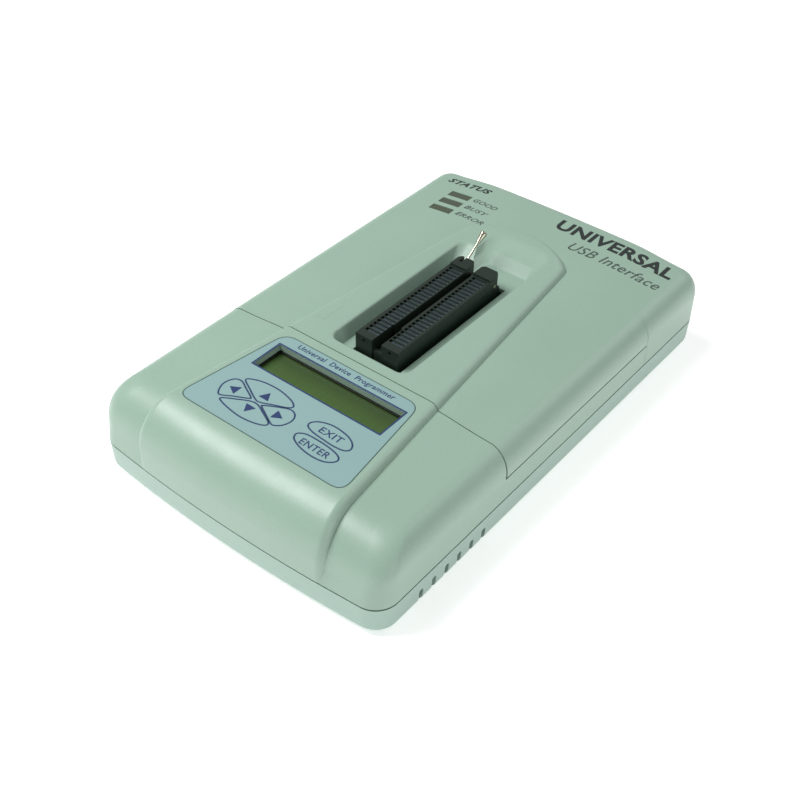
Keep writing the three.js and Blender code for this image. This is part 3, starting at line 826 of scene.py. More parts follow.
    def turn(self, angle: float, axis: str, origin: Place) -> "Work":
        """Turns the piece about a point and puts the turn in its mesh.

        Args:
            angle: angle in degrees.
            axis: axis it turns about.
            origin: where its own origin comes to stand.

        Returns:
            This work.
        """
        self.select()
        setattr(self.obj.rotation_euler, axis, math.radians(angle))
        self.obj.location = Vector(origin) * MM
        bpy.ops.object.transform_apply(location=True, rotation=True, scale=True)
        return self

    def copy(self, name: str, shift: Place) -> "Work":
        """Copies the piece with a mesh of its own.

        Args:
            name: name of the copy.
            shift: how far it is moved.

        Returns:
            The copy.
        """
        twin = self.obj.copy()
        twin.data = self.obj.data.copy()
        bpy.context.scene.collection.objects.link(twin)
        move = Vector(shift) * MM
        for v in twin.data.vertices:
            v.co += move
        return Work(name, twin)

    def select(self) -> None:
        """Makes this the one selected and active object."""
        self.clear()
        self.obj.select_set(True)
        bpy.context.view_layer.objects.active = self.obj

    def modify(self, kind: str, **settings: object) -> "Work":
        """Adds a modifier and applies it.

        Args:
            kind: type of the modifier.
            **settings: its settings.

        Returns:
            This work.
        """
        self.select()
        modifier = self.obj.modifiers.new(kind.lower(), kind)
        for key, value in settings.items():
            setattr(modifier, key, value)
        bpy.ops.object.modifier_apply(modifier=modifier.name)
        return self

    def _with(self, other: "Work", operation: str) -> "Work":
        """Applies a boolean and throws the other work away.

        Args:
            other: the second solid.
            operation: what is done with it.

        Returns:
            This work.
        """
        self.modify("BOOLEAN", object=other.obj, operation=operation, solver="EXACT")
        bpy.data.objects.remove(other.obj)
        return self

    def join(self, other: "Work") -> "Work":
        """Fuses another solid to this one."""
        return self._with(other, "UNION")

    def cut(self, other: "Work") -> "Work":
        """Cuts another solid out of this one."""
        return self._with(other, "DIFFERENCE")

    def keep(self, other: "Work") -> "Work":
        """Keeps what lies inside another solid."""
        return self._with(other, "INTERSECT")

    def gather(self, others: Iterable["Work"]) -> "Work":
        """Puts separate solids into this mesh without fusing them.

        Args:
            others: the solids.

        Returns:
            This work.
        """
        self.select()
        for other in others:
            other.obj.select_set(True)
        bpy.ops.object.join()
        return self

    def soften(self, width: float, steps: int = 2, angle: float = 40.0) -> "Work":
        """Rounds every sharp edge a little.

        Args:
            width: width of the rounding.
            steps: number of its segments.
            angle: least angle of an edge that is rounded, in degrees.

        Returns:
            This work.
        """
        return self.modify(
            "BEVEL",
            width=width * MM,
            segments=steps,
            limit_method="ANGLE",
            angle_limit=math.radians(angle),
            use_clamp_overlap=True,
        )

    def smooth(self, angle: float = 35.0) -> "Work":
        """Shades smooth up to an angle, with flat faces kept flat.

        Args:
            angle: the angle in degrees.

        Returns:
            This work.
        """
        self.select()
        bpy.ops.object.shade_smooth_by_angle(angle=math.radians(angle), keep_sharp_edges=False)
        return self.modify("WEIGHTED_NORMAL", weight=50, keep_sharp=True)

    def dress(self, finish: Finish, body: str = HOUSING, replaces: Sequence[str] = ()) -> "Work":
        """Gives the piece its finish, its body and the nodes it stands for.

        Args:
            finish: the finish.
            body: body that it moves with.
            replaces: nodes of the frame that it stands for.

        Returns:
            This work.
        """
        self.obj.data.materials.clear()
        self.obj.data.materials.append(finish.material())
        for polygon in self.obj.data.polygons:
            polygon.material_index = 0
        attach(self.obj, body)
        if replaces:
            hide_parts(*replaces)
        log.info("%s: %d faces, %s", self.obj.name, len(self.obj.data.polygons), finish.name)
        return self


class Editing:
    """Edit mode of one work, left again at the end of the with-block."""

    def __init__(self, work: Work) -> None:
        """Keeps the work.

        Args:
            work: the work to edit.
        """
        self.work = work

    def __enter__(self) -> Work:
        """Enters edit mode."""
        self.work.select()
        bpy.ops.object.mode_set(mode="EDIT")
        return self.work

    def __exit__(self, *problem: object) -> None:
        """Leaves edit mode."""
        bpy.ops.object.mode_set(mode="OBJECT")


# ---- outlines ----------------------------------------------------------------------------


def blend(share: float) -> float:
    """Eases a share from nought to one.

    Args:
        share: the plain share.

    Returns:
        The eased share.
    """
    t = min(1.0, max(0.0, share))
    return t * t * (3 - 2 * t)


def rounded_box(x0: float, x1: float, y0: float, y1: float, radius: float, steps: int = 6) -> list[Spot]:
    """Outlines a rectangle with rounded corners.

    Args:
        x0: left edge.
        x1: right edge.
        y0: front edge.
        y1: back edge.
        radius: corner radius.
        steps: points of a corner.

    Returns:
        The outline.
    """
    corners = [(x1 - radius, y0 + radius, -90), (x1 - radius, y1 - radius, 0)]
    corners += [(x0 + radius, y1 - radius, 90), (x0 + radius, y0 + radius, 180)]
    points = []
    for cx, cy, start in corners:
        for i in range(steps + 1):
            a = math.radians(start + 90 * i / steps)
            points.append((cx + radius * math.cos(a), cy + radius * math.sin(a)))
    return points


def rounded_outline(corners: Sequence[Spot], radius: float, steps: int = 6) -> list[Spot]:
    """Rounds the corners of an outline.

    Args:
        corners: its corners.
        radius: how far the rounding reaches along each side.
        steps: points of a corner.

    Returns:
        The outline.
    """
    points = []
    for i, corner in enumerate(corners):
        here = Vector(corner)
        before = here + (Vector(corners[i - 1]) - here).normalized() * radius
        after = here + (Vector(corners[(i + 1) % len(corners)]) - here).normalized() * radius
        for k in range(steps + 1):
            t = k / steps
            spot = before * (1 - t) ** 2 + here * 2 * t * (1 - t) + after * t**2
            points.append((spot.x, spot.y))
    return points


def flowing(points: Sequence[Spot], steps: int = 5) -> list[Spot]:
    """Draws a smooth closed line through points.

    Args:
        points: the points.
        steps: points drawn from one to the next.

    Returns:
        The line.
    """
    count = len(points)
    drawn = []
    for i in range(count):
        a, b, c, d = (Vector(points[(i + k - 1) % count]) for k in range(4))
        for k in range(steps):
            t = k / steps
            square, cube = 2 * a - 5 * b + 4 * c - d, 3 * b - a - 3 * c + d
            spot = 0.5 * (2 * b + (c - a) * t + square * t**2 + cube * t**3)
            drawn.append((spot.x, spot.y))
    return drawn


def grown(points: Sequence[Spot], margin: float) -> list[Spot]:
    """Moves an outline outwards.

    Args:
        points: the outline, counter-clockwise.
        margin: how far.

    Returns:
        The moved outline.
    """
    count = len(points)
    area = sum(points[i - 1][0] * points[i][1] - points[i][0] * points[i - 1][1] for i in range(count))
    side = math.copysign(1, area)
    moved = []
    for i, (x, y) in enumerate(points):
        along = Vector(points[(i + 1) % count]) - Vector(points[i - 1])
        along.normalize()
        moved.append((x + along.y * margin * side, y - along.x * margin * side))
    return moved


# ---- housing -----------------------------------------------------------------------------


@dataclass(frozen=True)
class PlanRing:
    """One rounded rectangle of the housing's plan, with bowed ends."""

    half: float
    front: float
    back: float
    radius: float
    bow: float
    back_radius: float

    def inset(self, wall: float) -> "PlanRing":
        """Gives the ring moved inwards by a wall."""
        return PlanRing(
            self.half - wall,
            self.front + wall,
            self.back - wall,
            max(1.0, self.radius - wall),
            self.bow,
            max(1.0, self.back_radius - wall),
        )


@dataclass
class Housing:
    """Lower tray, console cover and rear cover."""

    parting: float = 15.75
    gap: float = 0.5
    wall: float = 2.4
    base: PlanRing = PlanRing(75.4, -119.45, 119.45, 10.5, 2.8, 9.0)
    waist: PlanRing = PlanRing(75.3, -118.0, 118.6, 10.3, 2.6, 8.5)
    crest: PlanRing = PlanRing(66.2, -99.4, 110.0, 8.0, 1.2, 3.0)
    waist_front: float = 23.0
    waist_side: float = 29.5
    waist_back: float = 31.0
    side_top: float = 41.4
    rise: float = 2.1
    ridge_x: float = 37.8
    lid_proud: float = 0.25
    parting_gap: float = 0.8
    lid_groove: float = 0.7
    side_gap: float = 1.2
    lip: float = 0.5
    lip_depth: float = 2.4
    lid_back: float = 68.0
    seam: float = -41.5
    side_line: float = 28.0
    hump_top: float = 46.3
    hump_half: tuple[float, float] = (49.6, 28.4)
    hump_corner: float = 73.0
    hump_rear: float = 12.5
    hump_roll: float = 19.3
    edge_points: int = 24
    corner_points: int = 12
    roll_points: int = 12
    recess: tuple[float, float, float] = (-18.2, 16.2, -32.4)
    vents: int = 6
    vent_first: float = -94.4
    vent_pitch: float = 8.0
    vent_half: float = 1.25
    vent_levels: tuple[float, float] = (2.4, 9.8)
    vent_depth: float = 5.5
    screw_hole: float = 1.8
    boss_radius: float = 4.0
    post_radius: float = 5.0
    stand_radius: float = 3.5
    stand_hole: float = 1.6
    feet: list[Spot] = field(default_factory=lambda: [(-60, -84), (60, -84), (-60, 84), (60, 84)])
    posts: list[Spot] = field(default_factory=lambda: [(-62, -100), (62, -100), (-62, 100), (62, 100)])
    stands: list[Spot] = field(default_factory=lambda: [(-46, -52), (-46, 101), (46, -52), (46, 101)])

    def crown(self, x: float) -> float:
        """Gives the height of the top beside the raised middle.

        Args:
            x: place across the case.

        Returns:
            The height there.
        """
        half, radius = self.crest.half, self.crest.radius
        place = abs(x)
        reach = (half - min(place, half - radius)) / (half - self.ridge_x)
        fall = min(1.0, (half - place) / radius)
        return self.side_top + self.rise * blend(reach) * fall

    def trace(self, ring: PlanRing, proud: float = 0.0) -> list[tuple[float, float, float, float]]:
        """Walks round a plan ring, counter-clockwise from the front left.

        Args:
            ring: the ring.
            proud: how far the lid stands out at its sides.

        Returns:
            Points with their share of front and of back.
        """
        points = []
        straight = ring.half - ring.radius
        groove = self.lid_groove if proud else 0.0
        for i in range(self.edge_points):
            u = -1 + 2 * i / self.edge_points
            points.append((u * straight, ring.front - ring.bow * (1 - u * u), 1.0, 0.0))
        for i in range(self.corner_points):
            a = math.pi / 2 * i / self.corner_points
            share = blend(i / self.corner_points)
            x = straight + ring.radius * math.sin(a) + proud * share
            points.append((x, ring.front + ring.radius * (1 - math.cos(a)), 1 - share, 0.0))
        edge = ring.half + proud
        points.append((edge, ring.front + ring.radius, 0.0, 0.0))
        points.append((edge, self.lid_back - 0.6, 0.0, 0.0))
        points.append((ring.half - groove, self.lid_back - 0.1, 0.0, 0.0))
        points.append((ring.half, self.lid_back + 0.6, 0.0, 0.0))
        for i in range(self.corner_points):
            a = math.pi / 2 * i / self.corner_points
            share = blend(i / self.corner_points)
            x = ring.half - ring.back_radius * (1 - math.cos(a))
            points.append((x, ring.back - ring.back_radius * (1 - math.sin(a)), 0.0, share))
        left = [(-x, y, front, back) for x, y, front, back in points]
        far = ring.half - ring.back_radius
        rear = []
        for i in range(self.edge_points):
            u = 1 - 2 * i / self.edge_points
            rear.append((u * far, ring.back + ring.bow * (1 - u * u), 0.0, 1.0))
        turned = list(reversed(left[self.edge_points + 1 :]))
        lead = (-far, ring.back, 0.0, 1.0)
        return points + rear + [lead] + turned

    def body(self, inset: float = 0.0, proud: float = 0.0) -> Work:
        """Skins the housing above the parting line.

        Args:
            inset: wall taken off, for the inside.
            proud: how far the lid stands out at its sides.

        Returns:
            The closed body.
        """
        base, waist, crest = (
            self.trace(ring.inset(inset) if inset else ring, extra)
            for ring, extra in ((self.base, proud), (self.waist, proud), (self.crest, 0.0))
        )
        floor = self.parting - (10 if inset else -self.parting_gap / 2)
        rings = [[(x, y, floor) for x, y, _, _ in base]]
        for step in range(self.roll_points + 1):
            angle = math.pi / 2 * step / self.roll_points
            ring = []
            for (x0, y0, front, back), (x1, y1, _, _) in zip(waist, crest):
                low = self.waist_side
                low += (self.waist_front - low) * front + (self.waist_back - low) * back
                out, up = 1 - math.cos(angle), math.sin(angle)
                high = self.crown(x1) - inset
                ring.append((x0 + (x1 - x0) * out, y0 + (y1 - y0) * out, low + (high - low) * up))
            rings.append(ring)
        return Work.skin("body", rings, self.edge_points)

    def hump(self) -> Work:
        """Shapes the raised middle: an outline, a rolled front and a rounded rim.

        Returns:
            The raised middle.
        """
        wide, slim = self.hump_half
        straight = self.base.half - self.base.radius
        front = []
        for i in range(25):
            x = wide * (-1 + i / 12)
            front.append((x, self.base.front - 0.12 - self.base.bow * (1 - (x / straight) ** 2)))
        rear = [(slim + 1.0, self.hump_corner - 9.0), (slim + 0.35, self.hump_corner - 3.6)]
        rear += [(slim - 0.1, self.hump_corner - 1.6), (slim - 0.9, self.hump_corner)]
        for i in range(1, 18):
            u = 0.94 * (1 - i / 9)
            rear.append((slim * u, self.hump_corner + self.hump_rear * (1 - u * u)))
        rear += [(-x, y) for x, y in rear[3::-1]]
        work = Work.drawn("hump", front + rear, self.parting + self.parting_gap / 2 + 0.02, self.hump_top)
        tip = min(y for _, y in front)

        def front_edge(middle: Vector, edge: bmesh.types.BMEdge) -> bool:
            """Says whether an edge is the top edge of the front."""
            return middle.z > self.hump_top - 0.01 and middle.y < tip + 2.5 and abs(middle.x) < wide - 0.1

        work.bevel(front_edge, self.hump_roll, 16)

        def rim_edge(middle: Vector, edge: bmesh.types.BMEdge) -> bool:
            """Says whether an edge lies between a side wall and the top or front."""
            if len(edge.link_faces) != 2 or middle.z < self.parting + 1:
                return False
            upright = [abs(f.normal.z) < 0.01 and f.normal.y > -0.5 for f in edge.link_faces]
            return upright[0] != upright[1]

        return work.bevel(rim_edge, 3.2, 6, 0.42)

    def region(self, console: bool) -> Work:
        """Makes the space of one cover, seen from the side.

        Args:
            console: whether it is the console cover's.

        Returns:
            The space.
        """
        seam, level, back, far = self.seam, self.side_line, self.lid_back, 200.0
        half = self.gap / 2
        low = level + half - self.side_gap
        if console:
            outline = [(-far, 0), (back - 0.03, 0), (back - 0.03, low), (seam - half, low)]
            outline += [(seam - half, far), (-far, far)]
        else:
            outline = [(seam + half, level + half), (back + 0.03, level + half), (back + 0.03, 0)]
            outline += [(far, 0), (far, far), (seam + half, far)]
        return Work.drawn("space", outline, -far, far, Plane.SIDE)

    def blank(self, proud: float) -> Work:
        """Makes the hollow upper shell before it is divided.

        Args:
            proud: how far the lid stands out at its sides.

        Returns:
            The shell.
        """
        shell = self.body(0.0, proud).join(self.hump())
        return shell.cut(self.body(self.wall))

    def columns(self, side: int, level: float, radius: float, length: float) -> Work:
        """Makes the two upright columns of a cover at its screws.

        Args:
            side: -1 for the front, 1 for the back.
            level: height of their middle.
            radius: their radius.
            length: their length.

        Returns:
            The columns, in one mesh.
        """
        places = [(x, y) for x, y in self.posts if (y > 0) == (side > 0)]
        made = [Work.rod("column", (x, y, level), radius, length) for x, y in places]
        return made[0].gather(made[1:])

    def bosses(self, side: int) -> Work:
        """Gives the screw bosses of the front (-1) or back (1) cover."""
        return self.columns(side, 28.2, self.boss_radius, 24.0)

    def boss_holes(self, side: int) -> Work:
        """Gives the screw holes of the front (-1) or back (1) cover."""
        return self.columns(side, 20, self.screw_hole, 19)

    def console_cover(self, panel: "Panel") -> Work:
        """Makes the front part of the upper shell.

        Args:
            panel: the panel that is seated in it.

        Returns:
            The cover.
        """
        cover = self.blank(0.0).keep(self.region(True))
        edge = self.side_line + self.gap / 2 - self.side_gap
        room = Work.block(
            "room", (-100, self.seam - 1, edge - self.lip_depth), (100, self.lid_back - 0.6, edge + 1)
        )
        cover.cut(self.body(self.lip).keep(room))
        cover.cut(Work.block("room", (-39.5, -107.5, 25), (39.5, -44.5, 43.3)))
        cover.join(self.bosses(-1)).cut(self.boss_holes(-1))
        cover.cut(Work.drawn("seat", grown(panel.outline(), 0.22), panel.seat, 60))
        cover.cut(panel.window(30, 60))
        cover.cut(Work.block("key_room", (-34.2, -97.2, 44.8), (32.4, -74.2, 50)))
        stems = [Work.rod("stem_hole", (x, y, 44), 1.9, 6) for x, y in panel.stems()]
        return cover.cut(stems[0].gather(stems[1:]))

    def recess_cut(self) -> Work:
        """Shapes the space of the socket recess, with a rounded rim.

        Returns:
            The space.
        """
        x0, x1, y0 = self.recess
        steps = [(40.0, 0.0, 48.5, 2.2), (40.3, 0.3, 49.1, 2.4), (45.4, 2.8, 58.4, 4.6)]
        steps += [(46.0, 3.3, 59.7, 5.0), (46.35, 4.1, 60.8, 5.6)]
        steps += [(46.6, 5.4, 62.0, 6.4), (49.0, 8.0, 65.0, 8.0)]
        rings = []
        for z, out, back, radius in steps:
            plan = rounded_box(x0 - out, x1 + out, y0 - out, back, radius, 8)
            rings.append([(x, y, z) for x, y in plan])
        return Work.skin("recess", rings)

    def scoop_cut(self) -> Work:
        """Shapes the finger scoop behind the socket.

        Returns:
            The space.
        """
        steps = [(40.0, -6.9, 16.2, 58.4, 2.4), (40.2, -7.6, 16.5, 59.0, 2.8), (43.0, -10.9, 17.4, 65.0, 5.4)]
        steps += [(43.25, -11.3, 17.6, 66.2, 5.8), (45.6, -12.9, 19.0, 73.6, 8.6)]
        steps += [(46.1, -13.5, 19.6, 75.8, 9.4), (46.4, -14.4, 20.4, 78.0, 10.2)]
        steps += [(46.6, -15.6, 21.4, 80.4, 10.8), (49.0, -17.0, 22.5, 83.0, 11.0)]
        rings = []
        for z, left, right, back, radius in steps:
            edge = rounded_box(left, right, 40.0 - (z - 40) * 0.2, back, radius, 8)
            rings.append([(x, y, z) for x, y in edge])
        return Work.skin("scoop", rings)

    def rear_cover(self, lamps: "Lamps", rear: "Connectors") -> Work:
        """Makes the rear part of the upper shell.

        Args:
            lamps: the status lamps it has windows for.
            rear: the connectors in its back wall.

        Returns:
            The cover.
        """
        cover = self.blank(self.lid_proud).keep(self.region(False))
        cover.join(Work.block("tub", (-24, -38.5, 38), (22.2, 80.5, 42.2)))
        cover.cut(self.recess_cut()).cut(self.scoop_cut())
        cover.cut(Work.block("hole", (-13.0, -30.5, 30), (12.4, 46.3, 45)))
        cover.join(self.bosses(1)).cut(self.boss_holes(1))
        for place in lamps.places():
            cover.cut(lamps.opening(place))
        for opening in rear.openings():
            cover.cut(opening)
        return cover

    def tray(self, rear: "Connectors") -> Work:
        """Makes the lower tray with its vents, posts and seats.

        Args:
            rear: the connectors in its back wall.

        Returns:
            The tray.
        """
        top = self.parting - self.parting_gap / 2

        def shell(wall: float, high: float) -> Work:
            """Skins the tray's outside, or with a wall its inside."""
            rings = []
            for step in range(7):
                angle = math.pi / 2 * step / 6
                pull = wall + 0.4 + (3.3 - wall * 0.8) * (1 - math.sin(angle))
                level = 2 + wall + (3.4 - wall * 0.6) * (1 - math.cos(angle))
                rings.append([(x, y, level) for x, y, _, _ in self.trace(self.base.inset(pull))])
            edge = self.base.inset(wall) if wall else self.base
            rings.append([(x, y, high) for x, y, _, _ in self.trace(edge)])
            return Work.skin("tray", rings)

        tray = shell(0.0, top).cut(shell(self.wall, 30))
        room = Work.block("room", (-100, -150, top - self.lip_depth), (100, 150, 40))
        tray.cut(shell(self.lip, 30).keep(room))
        posts = [Work.rod("post", (x, y, 9.2), self.post_radius, 12.4) for x, y in self.posts]
        stands = [Work.rod("stand", (x, y, 6.2), self.stand_radius, 5) for x, y in self.stands]
        for part in posts + stands:
            tray.join(part)
        holes = [Work.rod("hole", (x, y, 9), self.screw_hole, 20) for x, y in self.posts]
        holes += [Work.rod("hole", (x, y, 8), self.stand_hole, 6) for x, y in self.stands]
        wells = [Work.rod("well", (x, y, 3.6), 3.1, 7.4) for x, y in self.posts]
        wells += [Work.rod("seat", (x, y, 1.5), 6.3, 3, sides=48) for x, y in self.feet]
        slots = []
        for i in range(self.vents):
            y = self.vent_first + self.vent_pitch * i
            for side in (-1, 1):
                x = side * self.base.half
                plan = rounded_box(y - self.vent_half, y + self.vent_half, *self.vent_levels, 1.2, 5)
                slots.append(
                    Work.drawn("slot", plan, x - self.vent_depth, x + self.vent_depth, Plane.SIDE)
                )
        tray.cut(holes[0].gather(holes[1:]))
        tray.cut(wells[0].gather(wells[1:]))
        tray.cut(slots[0].gather(slots[1:]))
        for opening in rear.openings():
            tray.cut(opening)
        return tray

    def build(self, panel: "Panel", lamps: "Lamps", rear: "Connectors") -> None:
        """Builds and dresses the three mouldings.

        Args:
            panel: the console's panel.
            lamps: the status lamps.
            rear: the connectors.
        """
        cover = self.console_cover(panel).soften(0.1).smooth()
        cover.obj.name = "console_cover_skin"
        cover.dress(CASE, replaces=["console_cover"])
        cover = self.rear_cover(lamps, rear).soften(0.1).smooth()
        cover.obj.name = "rear_cover_skin"
        cover.dress(CASE, replaces=["rear_cover"])
        tray = self.tray(rear).soften(0.2).smooth()
        tray.obj.name = "lower_tray"
        tray.dress(TRAY, replaces=["lower_case"])


# ---- console -----------------------------------------------------------------------------


@dataclass
class Panel:
    """Overlay with its printing, the six keys and the display window."""

    top: float = 46.3
    seat: float = 45.62
    thick: float = 0.42
    print_level: float = 0.02
    line: float = 0.36
    window_box: tuple[float, float, float, float] = (-32.9, 33.7, -69.05, -53.15)
    arrow: Spot = (5.1, 4.4)
    keys: dict[str, list[Spot]] = field(
        default_factory=lambda: {
            "left": [
                (-30.4, -91.6), (-32.4, -88.4), (-33.0, -84.9), (-31.4, -81.2), (-28.2, -80.4),
                (-24.2, -82.4), (-18.9, -85.1), (-18.9, -86.2), (-24.2, -89.0), (-28.4, -91.5),
            ],
            "up": [
                (-27.6, -79.0), (-26.6, -77.2), (-21.0, -75.2), (-13.0, -74.8), (-5.6, -76.3),
                (-2.2, -78.4), (-3.2, -80.4), (-8.6, -82.8), (-14.0, -85.1), (-16.8, -84.8), (-22.6, -81.8),
            ],
            "right": [
                (-11.6, -85.6), (-6.0, -82.4), (-1.6, -80.6), (1.6, -81.8), (3.1, -85.0),
                (2.0, -89.2), (-0.9, -91.6), (-3.4, -90.9), (-8.1, -88.4), (-11.6, -86.5),
            ],
            "down": [
                (-27.4, -92.8), (-22.4, -89.7), (-17.2, -87.0), (-13.6, -86.7), (-8.6, -88.9),
                (-3.2, -91.7), (-3.4, -93.8), (-8.0, -95.5), (-14.4, -96.2), (-21.4, -95.4), (-26.6, -94.1),
            ],
            "exit": [
                (9.9, -83.4), (9.3, -81.1), (11.8, -78.6), (16.5, -77.1), (21.4, -77.2), (26.1, -78.2),
                (29.5, -80.2), (30.9, -82.9), (29.3, -84.9), (24.8, -85.6), (18.7, -85.3), (13.4, -84.7),
            ],
            "enter": [
                (9.8, -91.3), (9.4, -89.0), (12.4, -87.2), (18.3, -86.9), (24.4, -87.3), (29.1, -88.4),
                (31.0, -90.1), (30.3, -92.3), (27.0, -94.4), (21.7, -95.0), (16.1, -94.3), (12.0, -92.9),
            ],
        }
    )

    def outline(self) -> list[Spot]:
        """Outlines the overlay."""
        corners = [(-42.9, -101.9), (42.9, -101.9), (35.6, -46.3), (-35.6, -46.3)]
        return rounded_outline(corners, 6.0)

    def window(self, low: float, high: float) -> Work:
        """Makes the space of the display window.

        Args:
            low: level it starts at.
            high: level it ends at.

        Returns:
            The space.
        """
        x0, x1, y0, y1 = self.window_box
        return Work.block("window", (x0, y0, low), (x1, y1, high))

    def stems(self) -> list[Spot]:
        """Gives the place of each key's stem."""
        found = []
        for name in self.keys:
            low, high = near("switch_" + name)
            found.append(((low.x + high.x) / 2, (low.y + high.y) / 2))
        return found

    def build(self) -> None:
        """Builds and dresses the overlay, the keys and their printing."""
        base = self.top - self.thick
        sheet = Work.drawn("keypad_film", self.outline(), base, self.top)
        for name, points in self.keys.items():
            sheet.cut(Work.drawn("key_hole", grown(flowing(points), 0.06), base - 1, self.top + 1))
        sheet.cut(self.window(30, 60)).soften(0.05, 1).smooth()
        sheet.dress(OVERLAY, replaces=["keypad_overlay"])
        ink = self.top + self.print_level
        Work.band(
            "film_border", self.outline(), grown(self.outline(), -0.3), self.top - 0.01, ink
        ).dress(EDGE_INK)
        x0, x1, y0, y1 = self.window_box
        frame_line = rounded_box(x0 - 0.75, x1 + 0.75, y0 - 0.75, y1 + 0.75, 0.3, 2)
        Work.band(
            "window_border", frame_line, rounded_box(x0 - 0.02, x1 + 0.02, y0 - 0.02, y1 + 0.02, 0.05, 2),
            self.top - 0.01, ink,
        ).dress(BLUE_INK)
        Work.lettering(
            "title",
            "Universal  Device  Programmer",
            (-25.8, 25.2, -50.4, -47.7),
            lambda x: self.top,
            0.08,
            0.01,
        ).dress(BLUE_INK)
        for (name, points), stem in zip(self.keys.items(), self.stems()):
            self.key(name, flowing(points), stem, base, ink)

    def key(self, name: str, edge: list[Spot], stem: Spot, base: float, ink: float) -> None:
        """Builds one key with its printing.

        Args:
            name: name of the key.
            edge: its outline.
            stem: place of its stem.
            base: level of the film's underside.
            ink: level of the printing's top.
        """
        body = "key_" + name
        pad = Work.drawn(body + "_top", grown(edge, -0.05), base, self.top)
        low = near(body)[0].z
        pad.join(Work.rod("stem", (*stem, (low + base) / 2 + 0.1), 1.5, base - low + 0.2))
        pad.soften(0.05, 1).smooth().dress(KEYTOP, body, [body])
        Work.band(body + "_line", grown(edge, -0.06), grown(edge, -self.line), self.top - 0.01, ink).dress(
            BLUE_INK, body
        )
        rim = Work.band(body + "_rim", grown(edge, self.line), grown(edge, 0.07), self.top - 0.01, ink)
        rim.dress(BLUE_INK)
        if name in ("exit", "enter"):
            x = 20.1
            y = -81.4 if name == "exit" else -90.9
            half = 5.5 if name == "exit" else 7.1
            mark = Work.lettering(
                body + "_word",
                name.upper(),
                (x - half, x + half, y - 1.75, y + 1.75),
                lambda _: self.top,
                0.0,
                0.008,
            )
        else:
            mark = self.arrow_mark(name, edge)
        mark.dress(BLUE_INK, body)

    def arrow_mark(self, name: str, edge: list[Spot]) -> Work:
        """Prints the arrow of a key.

        Args:
            name: the key's direction.
            edge: its outline.

        Returns:
            The arrow.
        """
        heading = {"up": 90, "left": 180, "down": 270, "right": 0}[name]
        shift = {"up": (0.2, -0.9), "left": (-0.7, 0.4), "down": (0.1, 1.0), "right": (0.9, -0.3)}[name]
        cx = sum(x for x, _ in edge) / len(edge) + shift[0]
        cy = sum(y for _, y in edge) / len(edge) + shift[1]
        width, height = self.arrow
        turn = math.radians(heading)
        corners = []
        for along, across in ((-height / 2, -width / 2), (-height / 2, width / 2), (height / 2, 0)):
            corners.append(
                (
                    cx + along * math.cos(turn) - across * math.sin(turn),
                    cy + along * math.sin(turn) + across * math.cos(turn),
                )
            )
        outline = rounded_outline(corners, 0.25, 2)
        return Work.drawn("key_" + name + "_arrow", outline, self.top - 0.02, self.top + 0.03)


@dataclass
class Display:
    """Character display behind the window."""

    def build(self) -> None:
        """Builds and dresses the glass."""
        low, high = near("lcd_glass")
        glass = Work.block("display_glass", low, high)
        glass.soften(0.3, 2).smooth()
        corner = (low.x + 3, low.y + 6)
        finish = DisplayGlass("display film", "display_glass", (0.034, 0.074, 0.012), 0.3, corner=corner)
        glass.dress(finish, replaces=["lcd_glass"])


# ---- test socket -------------------------------------------------------------------------


@dataclass
class Rail:
    """One long rail of the test socket."""

    name: str
    x0: float
    x1: float
    wide_x0: float
    wide_x1: float
    slot_x: float
    block_x: Spot
    contacts: str


